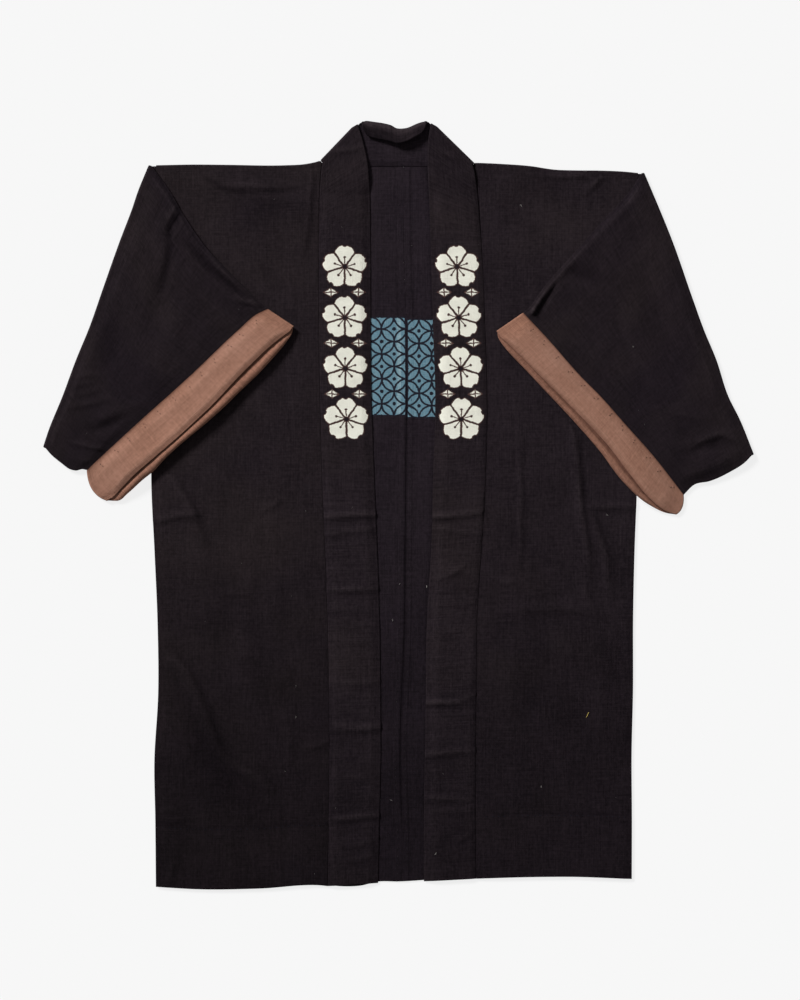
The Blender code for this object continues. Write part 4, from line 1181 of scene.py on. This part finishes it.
def uv_place(material, uv_name):
    """The two coordinates of a UV map, in millimetres."""
    source = Field(node(material.node_tree, "UVMap", uv_map=uv_name).outputs[0])
    split = node(material.node_tree, "SeparateXYZ", [(0, source)])
    return Field(split.outputs[0]) / MM, Field(split.outputs[1]) / MM


def attribute(material, name):
    return Field(node(material.node_tree, "Attribute", attribute_name=name).outputs["Fac"])


def noise(place, size_u, size_v, seed, detail=1.5):
    """Smooth noise from about -1 to 1, in spots of the given size."""
    u, v = place
    tree = u.socket.id_data
    joined = Field(node(tree, "CombineXYZ", enumerate((u / size_u, v / size_v, seed * 7.3))).outputs[0])
    made = node(tree, "TexNoise", [("Scale", 1.0), ("Detail", detail), ("Vector", joined)])
    return (Field(made.outputs["Fac"]) - 0.5) * 3.2


def tinted(share, base, other):
    """A colour between two, each a colour or a Field of one."""
    base, other = (c if isinstance(c, Field) else (*c, 1) for c in (base, other))
    inputs = ((0, share), (6, base), (7, other))
    return Field(node(share.socket.id_data, "Mix", inputs, data_type="RGBA").outputs[2])


# --- materials ------------------------------------------------------------------------------------

PITCH = 0.8  # between two threads of the weave
WEAVE_HEIGHT = 0.16
HALF_SPAN = 300  # from the centre back seam to a side, about
# The pale colour of a dye is for rubbed places and painted highlights on crests;
# the deep one for painted shade, the hem's tack marks and the darker colour towards the hem
Dye = namedtuple("Dye", "base lighter warmer worn inside deep")
# Darker colour away from a palest place along the cloth, and towards the wearer's right
Fade = namedtuple("Fade", "middle start end depth lean tilt")
BLACK_DYE = Dye(
    base=(0.0092, 0.0063, 0.0083),
    lighter=(0.0228, 0.0164, 0.0200),
    warmer=(0.0208, 0.0151, 0.0158),
    worn=(0.036, 0.027, 0.030),
    inside=(0.0182, 0.0130, 0.0184),
    deep=(0.0040, 0.0025, 0.0039),
)
SLEEVE_DYE = BLACK_DYE._replace(base=(0.0078, 0.0054, 0.0072), lighter=(0.0172, 0.0120, 0.0158))
BROWN_DYE = Dye(
    base=(0.270, 0.138, 0.096),
    lighter=(0.345, 0.185, 0.135),
    warmer=(0.250, 0.118, 0.077),
    worn=(0.42, 0.27, 0.20),
    inside=(0.235, 0.112, 0.076),
    deep=(0.045, 0.014, 0.010),
)
WHITE = (0.80, 0.79, 0.69)
WHITE_WORN = (0.60, 0.57, 0.50)
RIM = (0.115, 0.060, 0.050)
BLUE = (0.098, 0.200, 0.262)
BLUE_PALE = (0.30, 0.42, 0.46)
BLUE_DARK = (0.013, 0.018, 0.030)
FLOWER_TOP = 297.0  # the middle of the highest flower
FLOWERS = 4
FLOWER_APART = 63.5
PETALS = 5
PETAL_OUT = 15.2  # from a flower's middle to a petal's
PETAL_RADIUS = 11.6
NOTCH_RADIUS = 3.8  # the bite out of a petal's end
NOTCH_OUT = PETAL_OUT + PETAL_RADIUS + 1.9
PETAL_GAP = 1.3  # half of what is left open between two petals
STAMEN_HALF = 0.7
STAMEN_REACH = 11.5
TIP_RADIUS = 1.6  # the dot at a stamen's end
TIP_OUT = 12.4
EYE_RADIUS = 3.6
LOZENGE_OUT = 16.5  # from the middle of the band to the lozenges on both sides of it
BLOCK_TOP = 232.0
BLOCK_BOTTOM = 111.0
BLOCK_HALF = 62.5
BLOCK_SHIFT = 1.25  # half of what one side of the block stands higher than the other
BLOCK_SEAM = 2.1  # left plain on both sides of the seam
RING_RADIUS = 15.6
RING_LINE = 2.4
DOT_RADIUS = 2.3
RUBBED = (-9.6, 3.4)  # the middle of the strip that the allowance has rubbed pale, and half its width


def weave(place):
    """The height of a plain weave, from 0 to 1."""
    wobble = noise(place, 14, 14, 91) * 0.5
    u, v = (place[0] + wobble) * (math.pi / PITCH), (place[1] + wobble) * (math.pi / PITCH)
    across, down = u.sine(), v.sine()
    upper = (across * down * 3).within(-1, 1)
    return abs(across) * (upper * 0.5 + 0.5) + abs(down) * (0.5 - upper * 0.5)


def start_material(name, **constants):
    """A material and its shader, whose sockets have those constant values."""
    material = bpy.data.materials.new(name)
    material.use_nodes = True
    shader = material.node_tree.nodes["Principled BSDF"]
    for socket, value in constants.items():
        shader.inputs[socket.replace("_", " ")].default_value = value
    return material, shader


def grained(shade, color, spread):
    """A colour that runs darker and paler with the shade."""
    return tinted(shade, tuple((1 - spread) * c for c in color), tuple((1 + spread) * c for c in color))


def dyed_cloth(name, dye, seed, warm, motif=None, darkening=None):
    """Plain-woven cotton. motif adds a printed figure to the dyed colour.

    warm is the share of the warmer dye. fade is the place on the cloth's length that is palest, how far
    from it the colour starts and ends to deepen, by how much, and how much warmer and deeper the wearer's
    right side is: it makes the colour darker towards the hem and towards the wearer's right.
    """
    sheen = {"Sheen_Weight": 0.02, "Sheen_Roughness": 0.45, "Sheen_Tint": (0.75, 0.70, 0.78, 1)}
    material, shader = start_material(name, Specular_IOR_Level=0.04, **sheen)
    place = uv_place(material, "cloth")
    inside = attribute(material, "inside").ramp(0.55, 0.9)
    slubs = noise(place, 0.9, 26, seed + 1, detail=1) + noise(place, 30, 0.9, seed + 2, detail=1)
    grain = noise(place, 3.4, 4.2, seed + 3, detail=2)
    patches = noise(place, 48, 70, seed + 4, detail=3)
    warmth = noise(place, 110, 80, seed + 5, detail=1)
    # The unevenness of the dye, from the largest patches to single threads
    shade = (patches * 0.28 + grain * 0.4 + slubs * 0.34 + 0.42).within(0, 1)
    lean = place[0] * (-darkening.lean / HALF_SPAN) if darkening else 0.0
    warm_share = (warmth * 0.5 + warm + lean).within(0, 0.85)
    color = tinted(warm_share, tinted(shade, dye.base, dye.lighter), grained(shade, dye.warmer, 0.3))
    wear_and_shade = attribute(material, "wear_and_shade")
    # Above 0, rubbed places and painted highlights on crests go towards the dye's pale colour
    worn = wear_and_shade * (0.75 + grain * 0.5 + slubs * 0.35)
    color = tinted(worn.within(0, 1), color, dye.worn)
    specks = noise(place, 0.9, 1.4, seed + 6, detail=0).ramp(1.22, 1.4) * 0.3
    color = tinted(specks, color, dye.worn)
    color = tinted(inside * 0.6, color, grained(shade, dye.inside, 0.35))
    deep = grained(shade, dye.deep, 0.6)
    # Below 0, painted shade and the dark marks at the hem's tacks go towards the deep colour
    color = tinted((wear_and_shade * -1).within(0, 0.9), color, deep)
    # Darker away from the palest place along the cloth, towards the hem, and towards the wearer's right
    if darkening:
        depth = place[0] * (-darkening.tilt / HALF_SPAN) + darkening.depth
        color = tinted(abs(place[1] - darkening.middle).ramp(darkening.start, darkening.end) * depth, color, deep)
    if motif:
        color = motif(material, color)
    feed(shader.inputs["Base Color"], color)
    feed(shader.inputs["Roughness"], (0.86 - worn * 0.08 + grain * 0.03).within(0, 1))
    height = weave(place) + slubs * 0.45 + grain * 0.5
    bump = node(material.node_tree, "Bump", [("Distance", WEAVE_HEIGHT * MM), ("Height", height)])
    feed(shader.inputs["Normal"], Field(bump.outputs[0]))
    return material


def flowers(material, color):
    """A column of five-petalled flowers with small lozenges between them, left white by a paste resist."""
    place = uv_place(material, "print")
    shake = noise(place, 7, 7, 41) * 0.7, noise(place, 7, 7, 42) * 0.7
    ragged = noise(place, 1.6, 1.6, 43, detail=2) * 0.42
    u, v = place[0] + shake[0], place[1] + shake[1]
    bottom = FLOWER_TOP - (FLOWERS - 1) * FLOWER_APART
    reach = FLOWER_APART / 2
    zone = place[1].ramp(bottom - reach - 0.1, bottom - reach)
    zone = zone * place[1].ramp(FLOWER_TOP + reach, FLOWER_TOP + reach - 0.1)
    fu, fv = u, (v - bottom).wrapped(FLOWER_APART)
    out = distance_to(fu, fv)
    sector = 2 * math.pi / PETALS
    turn = fu.turn_from(fv).wrapped(sector)
    pu, pv = out * turn.cosine(), out * turn.sine()
    petal = distance_to(pu, pv, PETAL_OUT) - PETAL_RADIUS
    notch = NOTCH_RADIUS - distance_to(pu, pv, NOTCH_OUT)
    between = PETAL_GAP - (abs(turn) * -1 + sector / 2) * out
    stamen = (STAMEN_HALF - abs(pv)).least(STAMEN_REACH - out)
    tip = TIP_RADIUS - distance_to(pu, pv, TIP_OUT)
    eye = EYE_RADIUS - out
    flower = petal.most(notch).most(between).most(stamen).most(tip).most(eye)
    lu, lv = abs(u) - LOZENGE_OUT, (v - bottom - reach).wrapped(FLOWER_APART)
    lozenge = (abs(lu) * 0.55 + abs(lv) * 0.85 - 4.2).most(0.8 - abs(lu)).most(0.8 - abs(lv))
    above = place[1].ramp(bottom - 0.05, bottom) * place[1].ramp(FLOWER_TOP, FLOWER_TOP - 0.05)
    edge = flower.least(lozenge + (1 - above) * 50) + ragged + (1 - zone) * 50
    white = edge.ramp(0.28, -0.28)
    rim = edge.ramp(1.5, 0.5) * (1 - white) * 0.7
    flecks = noise(place, 1.1, 2.2, 44, detail=2).ramp(0.5, 1.25)
    stained = noise(place, 16, 22, 45, detail=3).ramp(-0.2, 1.3) * 0.3
    cloth = tinted(flecks * 0.30 + stained, WHITE, WHITE_WORN)
    return tinted(white, tinted(rim, color, RIM), cloth)


def ring_block(material, color):
    """A pale blue block over the centre back seam, of interlocked rings, dyed right through the cloth."""
    place = uv_place(material, "print")
    shake = noise(place, 9, 9, 51) * 0.45
    ragged = noise(place, 1.5, 1.5, 52, detail=2) * 0.5
    half = place[0].ramp(0.05, -0.05) * 2 - 1
    u, v = place[0] + shake, place[1] + shake - half * BLOCK_SHIFT
    middle = (BLOCK_TOP + BLOCK_BOTTOM) / 2
    frame_edge = (abs(u) - BLOCK_HALF).most(abs(v - middle) - (BLOCK_TOP - BLOCK_BOTTOM) / 2)
    frame_edge = frame_edge.most(BLOCK_SEAM - abs(u))
    ru, rv = abs(u.wrapped(2 * RING_RADIUS)), abs((v - middle).wrapped(2 * RING_RADIUS))
    near, far = distance_to(ru, rv), distance_to(ru, rv, RING_RADIUS, RING_RADIUS)
    lines = RING_LINE / 2 - abs(near - RING_RADIUS).least(abs(far - RING_RADIUS))
    dots = (DOT_RADIUS - near).most(DOT_RADIUS - far)
    pale = (frame_edge.most(lines).most(dots) + ragged).ramp(0.3, -0.3)
    threads = noise(place, 0.8, 13, 53, detail=2) * 0.6 + noise(place, 9, 0.8, 54, detail=2) * 0.5
    rubbed = (abs(u - RUBBED[0]) * -1 + RUBBED[1]).ramp(0, 2.2) * 0.7
    streaks = (threads * 0.42 + 0.16 + rubbed * (threads * 0.6 + 0.6)).within(0, 1)
    blue = tinted(streaks, BLUE, BLUE_PALE)
    near_block = frame_edge.ramp(2.5, 0) * frame_edge.ramp(60, 59)
    return tinted(pale, tinted(near_block * 0.5, color, BLUE_DARK), blue)


def thread_material(name, color):
    material, shader = start_material(name, Roughness=0.85, Specular_IOR_Level=0.1)
    spot = Field(node(material.node_tree, "TexCoord").outputs["Object"])
    grain = node(material.node_tree, "TexNoise", [("Scale", 1600), ("Vector", spot)])
    feed(shader.inputs["Base Color"], grained(Field(grain.outputs["Fac"]), color, 0.4))
    return material


def floor_material():
    """A pale floor with a glow of its own, which keeps the shadows on it faint."""
    glow = {"Emission_Color": (1, 1, 1, 1), "Emission_Strength": 0.81}
    grey = (0.12, 0.12, 0.12, 1)
    return start_material("floor", Base_Color=grey, Roughness=1.0, Specular_IOR_Level=0.0, **glow)[0]


# --- sewing and lint ------------------------------------------------------------------------------

Strand = namedtuple("Strand", "x y length angle curl radius")
LINT = rows_of(
    Strand,
    35, -104, 3, 60, 0.3, 0.3,  -8, -146, 3, 20, 0.5, 0.16,  -8, -371, 3, 110, 0.4, 0.14,
    -129, -267, 3, 40, 0.4, 0.16,  178, -354, 3, 30, 0.4, 0.2,  45, -438, 4, 20, 0.3, 0.2,
    262, -14, 3, 100, 0.5, 0.15,  3, -99, 3, 150, 0.5, 0.14,  154, 372, 4, 75, 0.4, 0.2,
    293, 196, 2, 80, 0.3, 0.2,
)
STRAW = Strand(234.5, -266.5, 8, 62, 0.02, 0.3)
SPECKS = 30  # specks of dust
THREAD_COLORS = {
    "navy_thread": (0.005, 0.007, 0.013),
    "dull_thread": (0.024, 0.020, 0.023),
    "pale_thread": (0.42, 0.27, 0.20),
    "brown_thread": (0.045, 0.022, 0.018),
    "lint": (0.36, 0.34, 0.32),
    "yellow_lint": (0.50, 0.38, 0.10),
}
Stitching = namedtuple("Stitching", "spacing length radius seed")
HEM_STITCHING = Stitching(7.5, 2.6, 0.22, 61)
SEAM_STITCHING = Stitching(11, 2.2, 0.22, 91)
STITCH_INSET = 2.2  # how far they are from the edge of the cloth that they hold
CUFF_STITCHING = {0.16: Stitching(9.7, 1.3, 0.2, 81)}  # by their share of the cuff's width
CUFF_PRICKING = {0.13: Stitching(24, 2.0, 0.4, 71), 0.22: Stitching(24, 2.0, 0.4, 75)}
UNEVEN = 0.12  # of the hand, in place as a share of the spacing, and in direction in radians
# A stitch: how far along it each point is, as a share, and how high above the cloth, in radii
STITCH_SHAPE = ((0, -1.2), (0.12, -0.1), (0.35, 0.55), (0.65, 0.55), (0.88, -0.1), (1, -1.2))


class Surface:
    """Finds the highest cloth over a place."""

    def __init__(self, pieces):
        self.trees = []
        for piece in pieces:
            points = [v.co for v in piece.data.vertices]
            self.trees.append(BVHTree.FromPolygons(points, [p.vertices for p in piece.data.polygons]))

    def height(self, x, y):
        """In millimetres, or None where there is no cloth."""
        start = Vector((x * MM, y * MM, 0.1))
        hits = [tree.ray_cast(start, Vector((0, 0, -1)))[0] for tree in self.trees]
        heights = [hit.z / MM for hit in hits if hit]
        return max(heights) if heights else None


def tube(points, radius, sides=6):
    """A thin closed thread through the points, in millimetres, with pointed ends."""
    points = np.asarray(points, float)
    tangents = unit(np.gradient(points, axis=0))
    across = unit(np.cross(tangents, (0.0, 0.0, 1.0)))
    upward = np.cross(across, tangents)
    angles = np.arange(sides) * 2 * math.pi / sides
    spread = across[:, None] * np.cos(angles)[:, None] + upward[:, None] * np.sin(angles)[:, None]
    rings = points[1:-1, None] + spread[1:-1] * radius
    vertices = [tuple(points[0])] + [tuple(p) for p in rings.reshape(-1, 3)] + [tuple(points[-1])]
    last = len(vertices) - 1
    faces = []
    for k in range(sides):
        following = (k + 1) % sides
        faces.append((0, 1 + following, 1 + k))
        for ring in range(len(rings) - 1):
            a, b = 1 + ring * sides, 1 + (ring + 1) * sides
            faces.append((a + k, a + following, b + following, b + k))
        faces.append((last, last - sides + k, last - sides + following))
    return vertices, faces


def joined(name, tubes, material, slot):
    """One piece of many threads."""
    vertices, faces = [], []
    for points, sides in tubes:
        faces += [tuple(len(vertices) + k for k in face) for face in sides]
        vertices += [tuple(c * MM for c in p) for p in points]
    mesh = bpy.data.meshes.new(name)
    mesh.from_pydata(vertices, [], faces)
    mesh.materials.append(material)
    mesh.shade_smooth()
    piece = placed(name, mesh)
    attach(piece, "root")
    return piece


def stitch(surface, start, end, radius):
    """A short stitch: its ends are in the cloth, and its middle stands on it."""
    spots = [mix(start, end, share) for share, _ in STITCH_SHAPE]
    heights = [surface.height(*spot) for spot in spots]
    if None in heights:
        return None
    lifts = [lift for _, lift in STITCH_SHAPE]
    return tube([(*spot, z + lift * radius) for spot, z, lift in zip(spots, heights, lifts)], radius)


def stitch_row(surface, line, stitching, side, turn=0.0):
    """Running stitches along a line through places, a little uneven by hand."""
    spacing, length, radius, seed = stitching
    random = np.random.default_rng(seed + side)
    places = np.array(line, float)
    total = sum(np.linalg.norm(step) for step in np.diff(places, axis=0))
    route = along(places)
    tubes = []
    for at in np.arange(spacing / 2, total - length, spacing):
        middle = route((at + random.uniform(-UNEVEN, UNEVEN) * spacing) / total)
        ahead = route(min(1.0, (at + 1) / total)) - route((at - 1) / total)
        angle = math.atan2(ahead[1], ahead[0]) + turn + random.uniform(-UNEVEN, UNEVEN)
        half = np.array([math.cos(angle), math.sin(angle)]) * length / 2 * random.uniform(0.75, 1.2)
        made = stitch(surface, middle - half, middle + half, radius)
        if made:
            tubes.append(made)
    return tubes


def strand(surface, lint, seed):
    """A fibre that lies on the cloth in a loose curve."""
    random = np.random.default_rng(seed)
    spot = np.array([lint.x, lint.y], float)
    angle = math.radians(lint.angle)
    step = lint.length / 9
    points = []
    for k in range(10):
        z = surface.height(*spot)
        if z is None:
            return None
        points.append((*spot, z + lint.radius * (0.9 + 0.6 * math.sin(k * 1.1) ** 2)))
        angle += lint.curl * random.uniform(0.1, 0.75)
        spot = spot + step * np.array([math.cos(angle), math.sin(angle)])
    return tube(points, lint.radius, sides=5)


def sewing(surface):
    """Every row of stitches, and the lint."""
    threads = {name: thread_material(name, color) for name, color in THREAD_COLORS.items()}
    for word, side, stations, sleeve, _, _ in SIDES:
        low = stations[-1]
        xs = np.linspace(low.side - side * 5, low.seam + side * 5, 9)
        hem = [(x, hem_line(side, x) - STITCH_INSET) for x in xs]
        row = stitch_row(surface, hem, HEM_STITCHING, side)
        joined(f"hem_stitches_{word}", row, threads["navy_thread"], "body_cloth")
        cuff = sleeve_forms(sleeve, stations)[-1]
        for kind, rows, thread, turn in (
            ("pricks", CUFF_PRICKING, "brown_thread", math.pi / 2),
            ("stitches", CUFF_STITCHING, "pale_thread", 0.0),
        ):
            made = []
            for share, stitching in rows.items():
                places = (map(np.array, (share, b, 0.0)) for b in np.linspace(0.03, 0.97, 12))
                made += stitch_row(surface, [cuff(*place) for place in places], stitching, side, turn)
            joined(f"cuff_{kind}_{word}", made, threads[thread], "cuff_cloth")
        ys = np.linspace(412, HEM_Y + 8, 30)
        allowance = [(centre_x(y) + side * (ALLOWANCE - STITCH_INSET), y) for y in ys]
        row = stitch_row(surface, allowance, SEAM_STITCHING, side)
        joined(f"back_seam_stitches_{word}", row, threads["dull_thread"], "body_cloth")
    fibres = [strand(surface, one, k) for k, one in enumerate(LINT)]
    random = np.random.default_rng(7)
    for k in range(SPECKS):
        x, y = random.uniform(-400, 400), random.uniform(-465, 415)
        length, radius = random.uniform(0.6, 2.0), random.uniform(0.05, 0.09)
        one = Strand(x, y, length, random.uniform(0, 180), random.uniform(0.2, 1.6), radius)
        fibres.append(strand(surface, one, 100 + k))
    joined("lint", [f for f in fibres if f], threads["lint"], "body_cloth")
    joined("yellow_lint", [strand(surface, STRAW, 50)], threads["yellow_lint"], "body_cloth")


# --- the scene ------------------------------------------------------------------------------------


Dressed = namedtuple("Dressed", "piece node dye slot flat held rests_on area")
body_darkening = Fade(TOP_Y, 250, 900, 0.60, 0.3, 0.1)
body_dye = dyed_cloth("black_cotton_with_rings", BLACK_DYE, 1, 0.2, ring_block, body_darkening)
sleeve_dye = dyed_cloth("black_cotton", SLEEVE_DYE, 20, 0.14)
collar_darkening = Fade(0, 600, 1150, 0.55, 0.0, 0.0)
collar_dye = dyed_cloth("black_cotton_with_flowers", BLACK_DYE, 40, 0.12, flowers, collar_darkening)
cuff_dye = dyed_cloth("brown_cotton", BROWN_DYE, 60, 0.3)
pieces = []
for word, side, stations, sleeve, _, _ in SIDES:
    body = body_panel(f"body_{word}_cloth", stations, side, sleeve)
    arm = sleeve_tube(f"sleeve_{word}_cloth", sleeve, stations)
    cuff = cuff_ring(f"cuff_{word}_cloth", sleeve, stations)
    on = (body.name,)
    pieces += [
        Dressed(body, f"body_{word}", body_dye, "body_cloth", (0.31, 1.80), "laid", (), 0.455),
        Dressed(arm, f"sleeve_{word}", sleeve_dye, "sleeve_cloth", (0.70, 0.28), "folded", on, 0.153),
        Dressed(cuff, f"cuff_{word}", cuff_dye, "cuff_cloth", (0.68, 0.040), "laid", on, None),
    ]
collar = collar_strip("collar_cloth")
on = ("body_right_cloth", "body_left_cloth")
pieces.append(Dressed(collar, "collar", collar_dye, "collar_cloth", (0.062, 2.0), "folded", on, None))
for row in pieces:
    row.piece.data.materials.append(row.dye)
    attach(row.piece, "root")
    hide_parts(row.node)
    list(row.rests_on)
sewing(Surface([row.piece for row in pieces]))

FILL = 0.27
KEY = 4.45
KEY_SOFTNESS = 14
KEY_ELEVATION = 31
PHOTO_CENTRE = (1.9, 5.6)  # what the middle of the picture looks at
PICTURE_HEIGHT = 1250.0  # of the picture, at the height of the cloth
CLOTH_HEIGHT = 4.0
LENS = 85.0
SENSOR = 36.0
FLOOR_REACH = 6  # in metres
FLOOR_LOW = -0.0002
camera_data = bpy.data.cameras.new("camera")
camera_data.lens = LENS
camera_data.sensor_fit = "VERTICAL"
camera_data.sensor_height = SENSOR
camera = placed("camera", camera_data)
distance = PICTURE_HEIGHT * LENS / SENSOR
camera.location = (PHOTO_CENTRE[0] * MM, PHOTO_CENTRE[1] * MM, (distance + CLOTH_HEIGHT) * MM)
bpy.context.scene.camera = camera

floor_mesh = bpy.data.meshes.new("floor")
corners = [(i * FLOOR_REACH, j * FLOOR_REACH, FLOOR_LOW) for i, j in ((-1, -1), (1, -1), (1, 1), (-1, 1))]
floor_mesh.from_pydata(corners, [], [(0, 1, 2, 3)])
floor_mesh.materials.append(floor_material())
placed("floor", floor_mesh)

world = bpy.data.worlds.new("world")
world.use_nodes = True
background = world.node_tree.nodes["Background"]
background.inputs["Color"].default_value = (1, 1, 1, 1)
background.inputs["Strength"].default_value = FILL
bpy.context.scene.world = world
sun_data = bpy.data.lights.new("sun", "SUN")
sun_data.energy = KEY
sun_data.angle = math.radians(KEY_SOFTNESS)
sun = placed("sun", sun_data)
level = math.cos(math.radians(KEY_ELEVATION)) / math.sqrt(2)
travel = Vector((level, -level, -math.sin(math.radians(KEY_ELEVATION))))
sun.rotation_euler = travel.to_track_quat("-Z", "Y").to_euler()
bpy.context.scene.view_settings.view_transform = "Standard"
